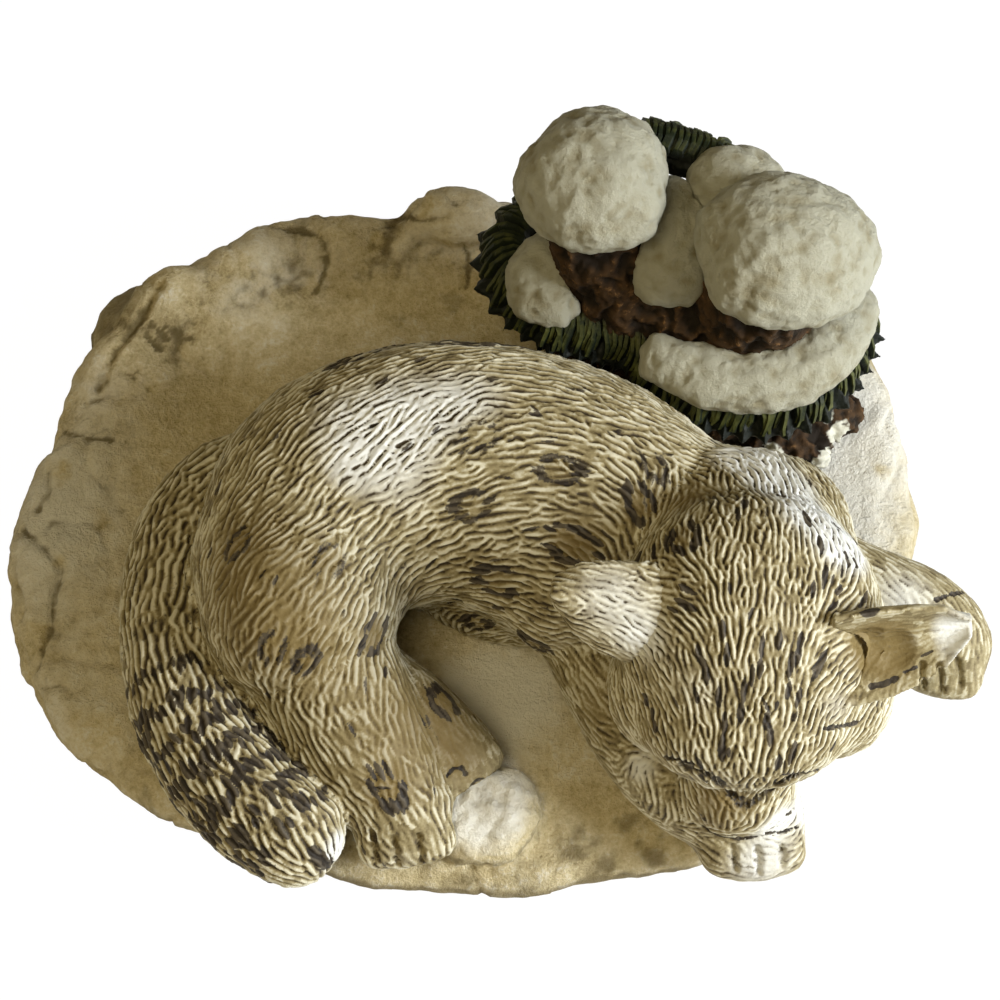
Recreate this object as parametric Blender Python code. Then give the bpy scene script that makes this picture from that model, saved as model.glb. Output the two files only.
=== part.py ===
"""Snow leopard asleep on a snowy rock, curled up beside a snow-laden fir stump.

The figurine is cold-cast resin. Its pieces come out of separate moulds and are glued together on a felted
base. So every piece here is one closed solid, and each later one is hollowed to seat on those in place.
Units are metres, +Z is up and the sleeper's face looks along -Y. The origin is on the table, under the bed.
"""

import math
from itertools import combinations

import bmesh
import bpy
from mathutils import Matrix, Vector

MM = 0.001
UP = Vector((0, 0, 1))
BACK = Vector((0, 1, 0))

# Fits and mesh grain
GLUE_GAP = 0.3 * MM
CAT_GRAIN = 1.2 * MM
STUMP_GRAIN = 1.4 * MM
WELD = 0.0005 * MM

# Felt and rock base
FELT_THICKNESS = 1.2 * MM
FELT_INSET = 9.0 * MM
BASE_LENGTH = 145.5 * MM
BASE_DEPTH = 120.5 * MM
BASE_CENTRE = Vector((-5.8, 2.4, 0)) * MM
BED_HEIGHT = 11.5 * MM
STUMP_GROUND = 15.5 * MM
BASE_SECTORS = 56
# Rim height above the table, from the sleeper's left side round by the back
RIM_HEIGHTS = [h * MM for h in (12.0, 17.0, 20.5, 20.5, 16.0, 10.5, 8.5, 8.5)]
# Outline in shares of the half length and the half depth, from the sleeper's right side round by the back
BASE_OUTLINE = (
    (-1.00, -0.16), (-0.975, 0.08), (-0.89, 0.30), (-0.85, 0.51), (-0.74, 0.71), (-0.58, 0.79),
    (-0.42, 0.91), (-0.24, 0.92), (-0.10, 0.98), (0.11, 1.00), (0.37, 0.97), (0.65, 0.84),
    (0.85, 0.68), (0.93, 0.53), (0.98, 0.28), (1.00, 0.02), (0.94, -0.22), (0.83, -0.46),
    (0.69, -0.70), (0.51, -0.90), (0.27, -0.965), (0.06, -0.985), (-0.15, -0.975), (-0.33, -0.92),
    (-0.57, -0.82), (-0.76, -0.695), (-0.89, -0.53), (-0.965, -0.34),
)
# Wall and top of the base: share of the outline, share of the rim height, share of the way from rim to bed
BASE_WALL = ((0.93, 0.10), (0.985, 0.28), (1.0, 0.52), (0.99, 0.78), (0.96, 0.95))
BASE_TOP = ((0.91, 0.0), (0.85, 0.14), (0.77, 0.46), (0.68, 0.80), (0.56, 0.96), (0.38, 1.0), (0.19, 1.0))
# Lumps on the base: x, y, share of the ground height there, and the three half sizes
SIDE_ROCK = (-58.5, 37.0, 8.5, 9.5, 10.5, 8.0)
REAR_KNOB = (-8.0, 55.5, 18.5, 9.5, 5.0, 5.5)
SNOW_MOUND = (-3.5, -46.5, 10.5, 9.5, 8.0, 6.0)

# Sleeping cat: every height below is measured from the bed
TORSO_WIDTH = 42.5 * MM
TORSO_HEIGHT = 38.0 * MM
# Spine from the withers to the rump: x, y, height in mm, and share of the torso's width and height
SPINE = (
    (38, -11.5, 17.5, 0.70, 0.86),
    (27, -11.5, 18.5, 0.78, 0.94),
    (10, -3.0, 18.5, 0.96, 1.00),
    (-8, 2.0, 18.5, 0.93, 1.00),
    (-24, -2.5, 17.0, 0.92, 0.98),
    (-31, -13, 16.5, 0.74, 0.90),
)
HAUNCH_CENTRE = Vector((-29.5, -18.5, 18.0)) * MM
HAUNCH_SIZE = Vector((30.0, 36.0, 33.0)) * MM
HAUNCH_TURN = math.radians(-18)
SHOULDER_CENTRE = Vector((13.0, -15.0, 16.0)) * MM
SHOULDER_SIZE = Vector((27.0, 24.0, 30.0)) * MM
SHOULDER_TURN = math.radians(25)
BELLY_CENTRE = Vector((-1.5, -8.0, 6.0)) * MM
BELLY_SIZE = Vector((34.0, 22.0, 30.0)) * MM
BELLY_TURN = math.radians(-25)

TAIL_THICKNESS = 16.4 * MM
# Tail from the rump to its tip: x, y, height in mm, and share of the thickness
TAIL_PATH = (
    (-38, 9, 11.0, 0.45),
    (-45, 4, 11.5, 0.62),
    (-50, -7, 11.0, 0.78),
    (-50, -22, 10.0, 0.90),
    (-46, -36, 9.5, 1.0),
    (-38.5, -47, 9.0, 1.02),
    (-31.0, -53.0, 8.0, 0.95),
)

LEG_THICKNESS = 17.0 * MM
PAW_WIDTH = 16.8 * MM
PAW_LENGTH = 15.0 * MM
PAW_HEIGHT = 13.0 * MM
TOE_WIDTH = 5.4 * MM
TOE_COUNT = 4
# Legs: x, y, height in mm, and share of the leg's thickness, from the body down to the wrist or hock
RIGHT_FORELEG = (
    (15, -23, 10.0, 0.98), (22.5, -38.5, 8.5, 0.95), (30, -46.5, 7.0, 0.88), (36, -48, 6.0, 0.84),
)
LEFT_FORELEG = (
    (42.5, -11.5, 12.5, 1.15), (53, -15.5, 10.5, 1.0), (62.5, -17.8, 9.0, 0.9), (67.5, -20, 7.2, 0.82),
)
RIGHT_HIND_LEG = ((-30, -23, 14.0, 1.45), (-21.5, -37.5, 9.5, 1.22), (-16, -45.5, 5.5, 0.98))
LEFT_HIND_FOOT = ((-20.5, -28.5, 7.5, 0.78), (-14.5, -32.5, 6.8, 0.78), (-9.5, -36.5, 5.4, 0.74))
# Paws: x, y, height in mm, heading in degrees from -Y towards +X, and share of the paw's size
RIGHT_FOREPAW = (37.2, -49.0, 5.6, 4, 1.0)
LEFT_FOREPAW = (68.4, -21.4, 6.2, -14, 0.86)
RIGHT_HIND_PAW = (-14.8, -47.2, 4.6, 10, 0.96)
LEFT_HIND_PAW = (-7.4, -38.6, 4.8, 46, 0.78)

# Head: its own frame has the skull's middle at the origin, and the face along -Y
HEAD_SEAT = Vector((35.8, -32.6, 31.6)) * MM
HEAD_PITCH = math.radians(26)
HEAD_WIDTH = 40.0 * MM
HEAD_LENGTH = 41.0 * MM
HEAD_HEIGHT = 31.0 * MM
MUZZLE_WIDTH = 18.0 * MM
MUZZLE_REACH = 29.0 * MM
NOSE_OFFSET = -1.2 * MM
NECK_WIDTH = 33.0 * MM
# Swellings of the head in shares of its half width, half length and half height: middle, then half sizes
HEAD_FORMS = (
    ((0.0, 0.08, 0.0), (0.96, 0.94, 0.97)),
    ((-0.04, -0.55, 0.04), (0.76, 0.50, 0.68)),
    ((-0.58, -0.36, -0.36), (0.42, 0.46, 0.62)),
    ((0.62, -0.38, -0.36), (0.44, 0.46, 0.62)),
    ((-0.06, -0.92, -0.86), (0.32, 0.32, 0.30)),
)
EAR_LENGTH = 15.0 * MM
EAR_WIDTH = 15.0 * MM
EAR_WALL = 2.4 * MM
EAR_CUP = 4.0 * MM
EAR_ROOT = 4.0 * MM
EAR_SWEEP = 2.6 * MM
# Ears in shares of the head's half sizes, then turn, lift and roll in degrees, and the way the hollow looks
RIGHT_EAR = ((-0.70, 0.10, 0.60), 172, 4, -16, -1)
LEFT_EAR = ((0.76, -0.03, 0.52), 5, 4, 32, 1)

# Fir stump: every height below is measured from the ground at its foot
STUMP_WIDTH = 36.0 * MM
STUMP_DEPTH = 21.0 * MM
STUMP_HEIGHT = 33.0 * MM
STUMP_FOOT = Vector((28.0, 28.0, 0)) * MM
STUMP_TURN = math.radians(-20)
# Trunk: share of the stump's height, of its width and of its depth
TRUNK = (
    (-0.18, 1.25, 1.30), (0.12, 1.06, 1.10), (0.42, 0.96, 0.96), (0.68, 0.98, 0.94), (0.84, 0.88, 0.80),
)
STEM_THICKNESS = 17.0 * MM
# Broken stems and roots: x, y from the foot and height in mm, and share of the stem's thickness
LEFT_STEM = ((-8, 1, 24, 1.0), (-12.5, 3, 36, 0.98), (-14.5, 4, 43, 0.85))
RIGHT_STEM = ((8, -2, 23, 1.05), (12, -5, 34, 1.12), (14, -6.5, 41, 1.0))
ROOTS = (
    ((12, -5, 3, 0.70), (20, -8.0, 3.6, 0.62), (26.0, -9.5, 3.0, 0.50)),
    ((9, -9, 2, 0.66), (16, -13.5, 2.6, 0.58), (21, -16, 2.4, 0.46)),
)
# Snow on the stump: x, y from the foot and height in mm, three sizes in mm, lean in degrees about X and Y
LEFT_CAP = ((-14.0, 5.0, 46.5), (23.0, 23.0, 21.0), (6, -10))
RIGHT_CAP = ((13.8, -6.0, 44.5), (27.5, 25.0, 21.0), (4, 10))
REAR_CAP = ((7.5, 9.0, 39.0), (16.0, 13.0, 14.0), (0, 8))
SADDLE_SNOW = ((-2.5, 0.5, 37.0), (14.0, 20.0, 11.0), (28, 0))
LEFT_LEDGE_SNOW = ((-20.5, 0.8, 26.5), (13.0, 16.5, 9.5), (8, -12))
LEDGE_THICKNESS = 10.0 * MM
# Long drift on the front bough: x, y from the foot and height in mm, and share of its thickness
FRONT_LEDGE_SNOW = (
    (-3.0, -10.5, 22.5, 0.80),
    (4.0, -13.5, 22.5, 1.0),
    (12.5, -14.5, 23.0, 1.05),
    (20.5, -11.0, 24.0, 1.08),
    (25.5, -4.0, 25.5, 0.95),
)
# Fir boughs: needles droop from a bent twig, out from the stump
NEEDLE_PITCH = 2.3 * MM
NEEDLE_LENGTH = 8.5 * MM
NEEDLE_DEPTH = 5.0 * MM
# Twigs, each turning clockwise round the stump as seen from above: x, y from the foot and height in mm
LEFT_BOUGH = (
    (-20.5, 14.0, 23.5), (-24.5, 10.5, 23.0), (-24.5, 5.5, 22.5), (-21.0, 1.5, 21.5), (-17.5, -0.5, 21.0),
)
MIDDLE_BOUGH = ((-20.5, -0.5, 21.7), (-16.0, -1.2, 21.2), (-10.5, -2.2, 20.7), (-4.5, -4.5, 20.2))
FRONT_BOUGH = (
    (-5.0, -6.0, 18.0), (0.0, -9.5, 17.5), (6.5, -12.5, 17.0), (14.0, -13.2, 17.0), (20.5, -10.0, 18.0),
    (24.0, -4.0, 20.0), (25.0, -1.0, 21.0),
)
REAR_BOUGH = ((10.5, 9.5, 37.0), (5.0, 12.0, 39.0), (-1.0, 14.0, 40.0), (-6.0, 15.5, 40.0))

CAT_CREAM = (0.60, 0.52, 0.37)
SNOW_WHITE = (0.70, 0.66, 0.56)
FIR_GREEN = (0.045, 0.075, 0.03)
BARK_BROWN = (0.10, 0.055, 0.03)
FELT_BROWN = (0.12, 0.09, 0.06)

forms = {}


def clear_scene():
    for obj in list(bpy.data.objects):
        bpy.data.objects.remove(obj)


def paint(obj, colour, roughness):
    """Gives an object its own matt resin or felt finish."""
    material = bpy.data.materials.new(obj.name)
    material.use_nodes = True
    shader = material.node_tree.nodes["Principled BSDF"]
    shader.inputs["Base Color"].default_value = (*colour, 1)
    shader.inputs["Roughness"].default_value = roughness
    shader.inputs["Metallic"].default_value = 0
    obj.data.materials.clear()
    obj.data.materials.append(material)


def make_object(name, bm):
    """A named object from a bmesh, which is freed."""
    bmesh.ops.recalc_face_normals(bm, faces=bm.faces)
    mesh = bpy.data.meshes.new(name)
    bm.to_mesh(mesh)
    bm.free()
    obj = bpy.data.objects.new(name, mesh)
    bpy.context.scene.collection.objects.link(obj)
    return obj


def bake(obj):
    """Applies an object's modifiers."""
    bpy.context.view_layer.update()
    evaluated = obj.evaluated_get(bpy.context.evaluated_depsgraph_get())
    mesh = bpy.data.meshes.new_from_object(evaluated)
    obj.modifiers.clear()
    old = obj.data
    obj.data = mesh
    bpy.data.meshes.remove(old)


def flip_doubled_diagonals(bm):
    """Turns each diagonal that the triangulating laid along another edge: every edge joins two faces."""
    bm.normal_update()
    for edge in [e for e in bm.edges if len(e.link_faces) > 2]:
        pairs = combinations(edge.link_faces, 2)
        pairs = sorted(pairs, key=lambda pair: -pair[0].normal.dot(pair[1].normal))
        for one, other in pairs:
            left = next(v for v in one.verts if v not in edge.verts)
            right = next(v for v in other.verts if v not in edge.verts)
            order = list(one.verts)
            start = order[(order.index(left) + 1) % 3]
            finish = order[(order.index(left) + 2) % 3]
            first = (start.co - left.co).cross(right.co - left.co).dot(one.normal)
            second = (finish.co - right.co).cross(left.co - right.co).dot(one.normal)
            if first > 0 and second > 0 and bm.edges.get((left, right)) is None:
                bm.faces.remove(one)
                bm.faces.remove(other)
                bm.faces.new((left, start, right))
                bm.faces.new((right, finish, left))
                break


def keep_largest_body(obj):
    """Drops the crumbs that a cut leaves beside the piece."""
    bm = bmesh.new()
    bm.from_mesh(obj.data)
    bmesh.ops.remove_doubles(bm, verts=bm.verts, dist=WELD)
    bmesh.ops.dissolve_degenerate(bm, edges=bm.edges, dist=WELD)
    bmesh.ops.triangulate(bm, faces=bm.faces)
    flip_doubled_diagonals(bm)
    bm.verts.ensure_lookup_table()
    unseen = set(bm.verts)
    bodies = []
    while unseen:
        queue = [unseen.pop()]
        body = set(queue)
        while queue:
            for edge in queue.pop().link_edges:
                for vert in edge.verts:
                    if vert in unseen:
                        unseen.remove(vert)
                        body.add(vert)
                        queue.append(vert)
        bodies.append(body)
    largest = max(bodies, key=len)
    bmesh.ops.delete(bm, geom=[v for v in bm.verts if v not in largest], context="VERTS")
    bm.to_mesh(obj.data)
    bm.free()


def boolean(obj, other, operation):
    modifier = obj.modifiers.new(operation.lower(), "BOOLEAN")
    modifier.operation = operation
    modifier.solver = "EXACT"
    modifier.use_self = True
    modifier.object = other
    bake(obj)
    mesh = other.data
    bpy.data.objects.remove(other)
    bpy.data.meshes.remove(mesh)


def remember_form(obj):
    """Keeps a piece's whole outer form, which its neighbours are later hollowed by."""
    forms[obj.name] = obj.data.copy()


def seat(obj, *neighbours):
    """Hollows a piece to sit on its neighbours with the glue gap all round, then smooths its shading."""
    for name in neighbours:
        bm = bmesh.new()
        bm.from_mesh(forms[name])
        bmesh.ops.remove_doubles(bm, verts=bm.verts, dist=GLUE_GAP)
        bmesh.ops.dissolve_degenerate(bm, edges=bm.edges, dist=GLUE_GAP)
        bm.normal_update()
        for vert in bm.verts:
            vert.co += vert.normal * GLUE_GAP
        boolean(obj, make_object("seat_cutter", bm), "DIFFERENCE")
    keep_largest_body(obj)
    obj.data.shade_smooth()
    obj.data.set_sharp_from_angle(angle=math.radians(40))


def smooth_rows(rows, steps, closed=False):
    """Rows of numbers on a Catmull-Rom curve through the given rows."""
    count = len(rows)
    spans = count if closed else count - 1
    found = []
    for i in range(spans):
        if closed:
            picks = [rows[(i + k) % count] for k in (-1, 0, 1, 2)]
        else:
            picks = [rows[min(max(i + k, 0), count - 1)] for k in (-1, 0, 1, 2)]
        for j in range(steps):
            t = j / steps
            weights = (
                -0.5 * t**3 + t**2 - 0.5 * t,
                1.5 * t**3 - 2.5 * t**2 + 1,
                -1.5 * t**3 + 2 * t**2 + 0.5 * t,
                0.5 * t**3 - 0.5 * t**2,
            )
            found.append([sum(w * row[c] for w, row in zip(weights, picks)) for c in range(len(rows[0]))])
    if not closed:
        found.append(list(rows[-1]))
    return found


def even_points(points, count):
    """So many points at even spacing along a line of points."""
    lengths = [0.0]
    for a, b in zip(points, points[1:]):
        lengths.append(lengths[-1] + (b - a).length)
    found = []
    for k in range(count):
        wanted = lengths[-1] * k / (count - 1)
        i = max(j for j in range(len(points) - 1) if lengths[j] <= wanted)
        found.append(points[i].lerp(points[i + 1], (wanted - lengths[i]) / (lengths[i + 1] - lengths[i])))
    return found


def bridge_rings(bm, rings):
    """Walls between rings of equally many points, and a fan of faces to the first and last point."""
    first, last = rings[0], rings[-1]
    for lower, upper in zip(rings[1:-1], rings[2:-1]):
        for i in range(len(lower)):
            k = (i + 1) % len(lower)
            bm.faces.new((lower[i], lower[k], upper[k], upper[i]))
    for tip, ring in ((first[0], rings[1]), (last[0], rings[-2])):
        for i in range(len(ring)):
            bm.faces.new((tip, ring[i], ring[(i + 1) % len(ring)]))


def add_tube(bm, rows, sides=18, steps=4, reference=UP):
    """A round-ended tube along rows of x, y, z, half width and half height."""
    rows = smooth_rows(rows, steps)
    points = [Vector(row[:3]) for row in rows]
    ends = (math.radians(30), math.radians(60))
    stations = []
    for i, row in enumerate(rows):
        before, after = points[max(i - 1, 0)], points[min(i + 1, len(rows) - 1)]
        stations.append((points[i], (after - before).normalized(), row[3], row[4]))

    def rounded(station, sign):
        point, along, wide, high = station
        reach = min(wide, high)
        offsets = [along * sign * reach * math.sin(a) for a in ends]
        return [(point + o, along, wide * math.cos(a), high * math.cos(a)) for o, a in zip(offsets, ends)]

    stations = rounded(stations[0], -1)[::-1] + stations + rounded(stations[-1], 1)
    rings = []
    for point, along, wide, high in stations:
        side = along.cross(reference).normalized()
        lift = side.cross(along)
        angles = [2 * math.pi * k / sides for k in range(sides)]
        ring = [point + side * wide * math.cos(a) + lift * high * math.sin(a) for a in angles]
        rings.append([bm.verts.new(place) for place in ring])
    head_row, tail_row = rows[0], rows[-1]
    start = points[0] - stations[2][1] * min(head_row[3:5])
    finish = points[-1] + stations[-3][1] * min(tail_row[3:5])
    bridge_rings(bm, [[bm.verts.new(start)], *rings, [bm.verts.new(finish)]])


def add_ellipsoid(bm, centre, half_sizes, turn=None):
    matrix = Matrix.Translation(centre) @ (turn or Matrix()) @ Matrix.Diagonal((*half_sizes, 1))
    bmesh.ops.create_uvsphere(bm, u_segments=18, v_segments=10, radius=1, matrix=matrix)


def fuse(obj, grain, smoothing, triangles):
    """Blends an object's overlapping shells into one sculpted skin of about so many triangles."""
    remesh = obj.modifiers.new("fuse", "REMESH")
    remesh.mode = "VOXEL"
    remesh.voxel_size = grain
    smooth = obj.modifiers.new("soften", "SMOOTH")
    smooth.factor = 0.5
    smooth.iterations = smoothing
    bake(obj)
    thin = obj.modifiers.new("thin", "DECIMATE")
    thin.ratio = min(1.0, triangles / (2 * len(obj.data.polygons)))
    bake(obj)


def in_mm(row, lift=0.0):
    """A place given in millimetres, lifted to the level that it is measured from."""
    return Vector((row[0] * MM, row[1] * MM, row[2] * MM + lift))


def compass(values, angle):
    """A smooth value round the base from eight values, the first at +X and the third at +Y."""
    place = (angle / (2 * math.pi)) % 1 * len(values)
    low = int(place) % len(values)
    share = place - int(place)
    share = share * share * (3 - 2 * share)
    return values[low] + (values[(low + 1) % len(values)] - values[low]) * share


def base_outline():
    """Points round the base's widest line, from its middle, evenly spread by angle."""
    corners = [Vector((x * BASE_LENGTH / 2, y * BASE_DEPTH / 2, 0)) for x, y in BASE_OUTLINE]
    points = [Vector(row) for row in smooth_rows(corners, 12, closed=True)]
    angles = [math.atan2(p.y, p.x) for p in points]
    outline = []
    for k in range(BASE_SECTORS):
        wanted = math.tau * k / BASE_SECTORS
        nearest = min(range(len(points)), key=lambda i: abs(math.remainder(angles[i] - wanted, math.tau)))
        outline.append(points[nearest])
    return outline


def make_felt_pad():
    bm = bmesh.new()
    ring = [bm.verts.new(BASE_CENTRE + p - p.normalized() * FELT_INSET) for p in base_outline()]
    face = bm.faces.new(ring)
    moved = bmesh.ops.extrude_face_region(bm, geom=[face])
    for item in moved["geom"]:
        if isinstance(item, bmesh.types.BMVert):
            item.co.z += FELT_THICKNESS
    pad = make_object("felt_pad", bm)
    paint(pad, FELT_BROWN, 0.95)


def make_snow_base():
    """A flat-bottomed rock dished for the sleeper, with a raised rim, and lumps of rock and snow."""
    outline = base_outline()
    floor = FELT_THICKNESS + GLUE_GAP
    angles = [math.atan2(p.y, p.x) for p in outline]
    rims = [compass(RIM_HEIGHTS, a) for a in angles]
    bm = bmesh.new()
    foot = [bm.verts.new(BASE_CENTRE + p * 0.9 + UP * floor) for p in outline]
    rings = [foot]
    for share, rise in BASE_WALL:
        heights = [max(rim * rise, floor + GLUE_GAP) for rim in rims]
        rings.append([bm.verts.new(BASE_CENTRE + p * share + UP * h) for p, h in zip(outline, heights)])
    for share, fall in BASE_TOP:
        heights = [rim + (BED_HEIGHT - rim) * fall for rim in rims]
        rings.append([bm.verts.new(BASE_CENTRE + p * share + UP * h) for p, h in zip(outline, heights)])
    middle = bm.verts.new(BASE_CENTRE + UP * BED_HEIGHT)
    bottom = bm.verts.new(BASE_CENTRE + UP * floor)
    bridge_rings(bm, [[bottom], *rings, [middle]])
    base = make_object("snow_base", bm)
    stump_swell = (STUMP_FOOT.x / MM, STUMP_FOOT.y / MM, 8.0, 31.0, 25.0, STUMP_GROUND / MM - 8.0)
    for lump in (SIDE_ROCK, REAR_KNOB, SNOW_MOUND, stump_swell):
        bm = bmesh.new()
        add_ellipsoid(bm, in_mm(lump), Vector(lump[3:]) * MM)
        for vert in bm.verts:
            vert.co.z = max(vert.co.z, floor + GLUE_GAP)
        boolean(base, make_object("lump", bm), "UNION")
    keep_largest_body(base)
    base.data.shade_smooth()
    base.data.set_sharp_from_angle(angle=math.radians(40))
    paint(base, SNOW_WHITE, 0.75)
    remember_form(base)


def make_torso():
    bm = bmesh.new()
    rows = [(*in_mm(s, BED_HEIGHT), s[3] * TORSO_WIDTH / 2, s[4] * TORSO_HEIGHT / 2) for s in SPINE]
    add_tube(bm, rows, sides=22)
    lift = UP * BED_HEIGHT
    add_ellipsoid(bm, HAUNCH_CENTRE + lift, HAUNCH_SIZE / 2, Matrix.Rotation(HAUNCH_TURN, 4, "Z"))
    add_ellipsoid(bm, SHOULDER_CENTRE + lift, SHOULDER_SIZE / 2, Matrix.Rotation(SHOULDER_TURN, 4, "Z"))
    add_ellipsoid(bm, BELLY_CENTRE + lift, BELLY_SIZE / 2, Matrix.Rotation(BELLY_TURN, 4, "Z"))
    torso = make_object("torso", bm)
    fuse(torso, CAT_GRAIN, 14, 1080)
    remember_form(torso)
    seat(torso, "snow_base")
    paint(torso, CAT_CREAM, 0.6)


def make_tail():
    bm = bmesh.new()
    half = TAIL_THICKNESS / 2
    add_tube(bm, [(*in_mm(s, BED_HEIGHT), s[3] * half, s[3] * half) for s in TAIL_PATH], sides=14, steps=3)
    tail = make_object("tail", bm)
    remember_form(tail)
    seat(tail, "snow_base", "torso")
    paint(tail, CAT_CREAM, 0.6)


def add_paw(bm, paw):
    """A rounded paw with its row of toes along the front."""
    centre = in_mm(paw, BED_HEIGHT)
    turn = Matrix.Rotation(math.radians(paw[3]), 4, "Z")
    size = paw[4]
    half = Vector((PAW_WIDTH, PAW_LENGTH, PAW_HEIGHT)) * size / 2
    add_ellipsoid(bm, centre, half, turn)
    for k in range(TOE_COUNT):
        spread = (k + 0.5) / TOE_COUNT * 2 - 1
        place = Vector((spread * half.x * 0.82, -half.y * (0.92 - 0.22 * spread**2), -half.z * 0.22))
        toe = Vector((TOE_WIDTH * 0.5, TOE_WIDTH * 0.62, TOE_WIDTH * 0.68)) * size
        add_ellipsoid(bm, centre + turn @ place, toe, turn)


def make_leg(name, path, paw, neighbours, triangles):
    bm = bmesh.new()
    half = LEG_THICKNESS / 2
    add_tube(bm, [(*in_mm(s, BED_HEIGHT), s[3] * half, s[3] * half) for s in path], sides=16)
    add_paw(bm, paw)
    leg = make_object(name, bm)
    fuse(leg, CAT_GRAIN, 5, triangles)
    remember_form(leg)
    seat(leg, *neighbours)
    paint(leg, CAT_CREAM, 0.6)


def head_matrix():
    return Matrix.Translation(HEAD_SEAT + UP * BED_HEIGHT) @ Matrix.Rotation(HEAD_PITCH, 4, "X")


def in_head(shares):
    """A place in the head's frame, in shares of its half sizes."""
    return Vector((shares[0] * HEAD_WIDTH, shares[1] * HEAD_LENGTH, shares[2] * HEAD_HEIGHT)) / 2


def make_head():
    bm = bmesh.new()
    for middle, half in HEAD_FORMS:
        add_ellipsoid(bm, in_head(middle), in_head(half))
    muzzle = MUZZLE_WIDTH / 2
    nose = Vector((NOSE_OFFSET, -MUZZLE_REACH + muzzle * 0.72, -HEAD_HEIGHT * 0.32))
    brow = Vector((NOSE_OFFSET, -HEAD_LENGTH * 0.30, -HEAD_HEIGHT * 0.26))
    add_tube(bm, [(*brow, muzzle * 1.0, muzzle * 0.90), (*nose, muzzle * 0.90, muzzle * 0.72)], sides=16)
    for side in (-1, 1):
        pad = nose + Vector((side * muzzle * 0.48, -muzzle * 0.12, -muzzle * 0.26))
        add_ellipsoid(bm, pad, Vector((0.52, 0.58, 0.52)) * muzzle)
    nape = Vector((0, HEAD_LENGTH * 0.16, -HEAD_HEIGHT * 0.10))
    collar = Vector((0, HEAD_LENGTH * 0.44, -HEAD_HEIGHT * 0.42))
    neck = NECK_WIDTH / 2
    rows = [(*nape, neck, HEAD_HEIGHT * 0.44), (*collar, neck * 0.95, HEAD_HEIGHT * 0.32)]
    add_tube(bm, rows, sides=18)
    head = make_object("head", bm)
    head.data.transform(head_matrix())
    fuse(head, CAT_GRAIN, 6, 1300)
    remember_form(head)
    seat(head, "snow_base", "torso", "right_foreleg", "left_foreleg")
    paint(head, CAT_CREAM, 0.6)


def make_ear(name, ear):
    """A cupped leaf with a round tip, rooted in the head."""
    shares, turn, lift, roll, opening = ear
    rows, columns = 5, 6
    faces = {}
    bm = bmesh.new()
    for side in (-1, 1):
        for i in range(rows + 1):
            along = i / rows
            wide = EAR_WIDTH / 2 * math.sqrt(max(1 - along**2.4, 0.03))
            wall = EAR_WALL / 2 * (1 - 0.35 * along)
            for j in range(columns + 1):
                across = j / columns * 2 - 1
                cup = EAR_CUP * opening * (across**2) * (1 - 0.45 * along)
                sweep = EAR_SWEEP * opening * along**2
                edge = 1 - 0.45 * across**4
                reach = along * (EAR_LENGTH + EAR_ROOT) - EAR_ROOT
                faces[side, i, j] = bm.verts.new((reach, across * wide + sweep, cup + side * wall * edge))
    for i in range(rows):
        for j in range(columns):
            for side in (-1, 1):
                bm.faces.new([faces[side, i + a, j + b] for a, b in ((0, 0), (1, 0), (1, 1), (0, 1))])
    border = [(i, 0) for i in range(rows)] + [(rows, j) for j in range(columns)]
    border += [(i, columns) for i in range(rows, 0, -1)] + [(0, j) for j in range(columns, 0, -1)]
    for (i, j), (m, n) in zip(border, border[1:] + border[:1]):
        bm.faces.new((faces[-1, i, j], faces[-1, m, n], faces[1, m, n], faces[1, i, j]))
    piece = make_object(name, bm)
    aim = Matrix.Rotation(math.radians(turn), 4, "Z") @ Matrix.Rotation(-math.radians(lift), 4, "Y")
    aim = aim @ Matrix.Rotation(math.radians(roll), 4, "X")
    piece.data.transform(head_matrix() @ Matrix.Translation(in_head(shares)) @ aim)
    remember_form(piece)
    seat(piece, "head", "torso", "left_foreleg")
    paint(piece, CAT_CREAM, 0.6)


def make_stump():
    """A split trunk with two broken stems and two roots that break through the snow."""
    ground = UP * STUMP_GROUND + STUMP_FOOT
    bm = bmesh.new()
    trunk = [
        (*(ground + UP * rise * STUMP_HEIGHT), wide * STUMP_WIDTH / 2, deep * STUMP_DEPTH / 2)
        for rise, wide, deep in TRUNK
    ]
    add_tube(bm, trunk, sides=18, reference=Matrix.Rotation(STUMP_TURN, 3, "Z") @ -BACK)
    half = STEM_THICKNESS / 2
    for path, reference in ((LEFT_STEM, BACK), (RIGHT_STEM, BACK), (ROOTS[0], UP), (ROOTS[1], UP)):
        rows = [(*(ground + in_mm(s)), s[3] * half, s[3] * half) for s in path]
        add_tube(bm, rows, sides=12, reference=reference)
    stump = make_object("stump", bm)
    fuse(stump, STUMP_GRAIN, 3, 800)
    remember_form(stump)
    seat(stump, "snow_base", "torso", "left_foreleg")
    paint(stump, BARK_BROWN, 0.85)


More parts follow.
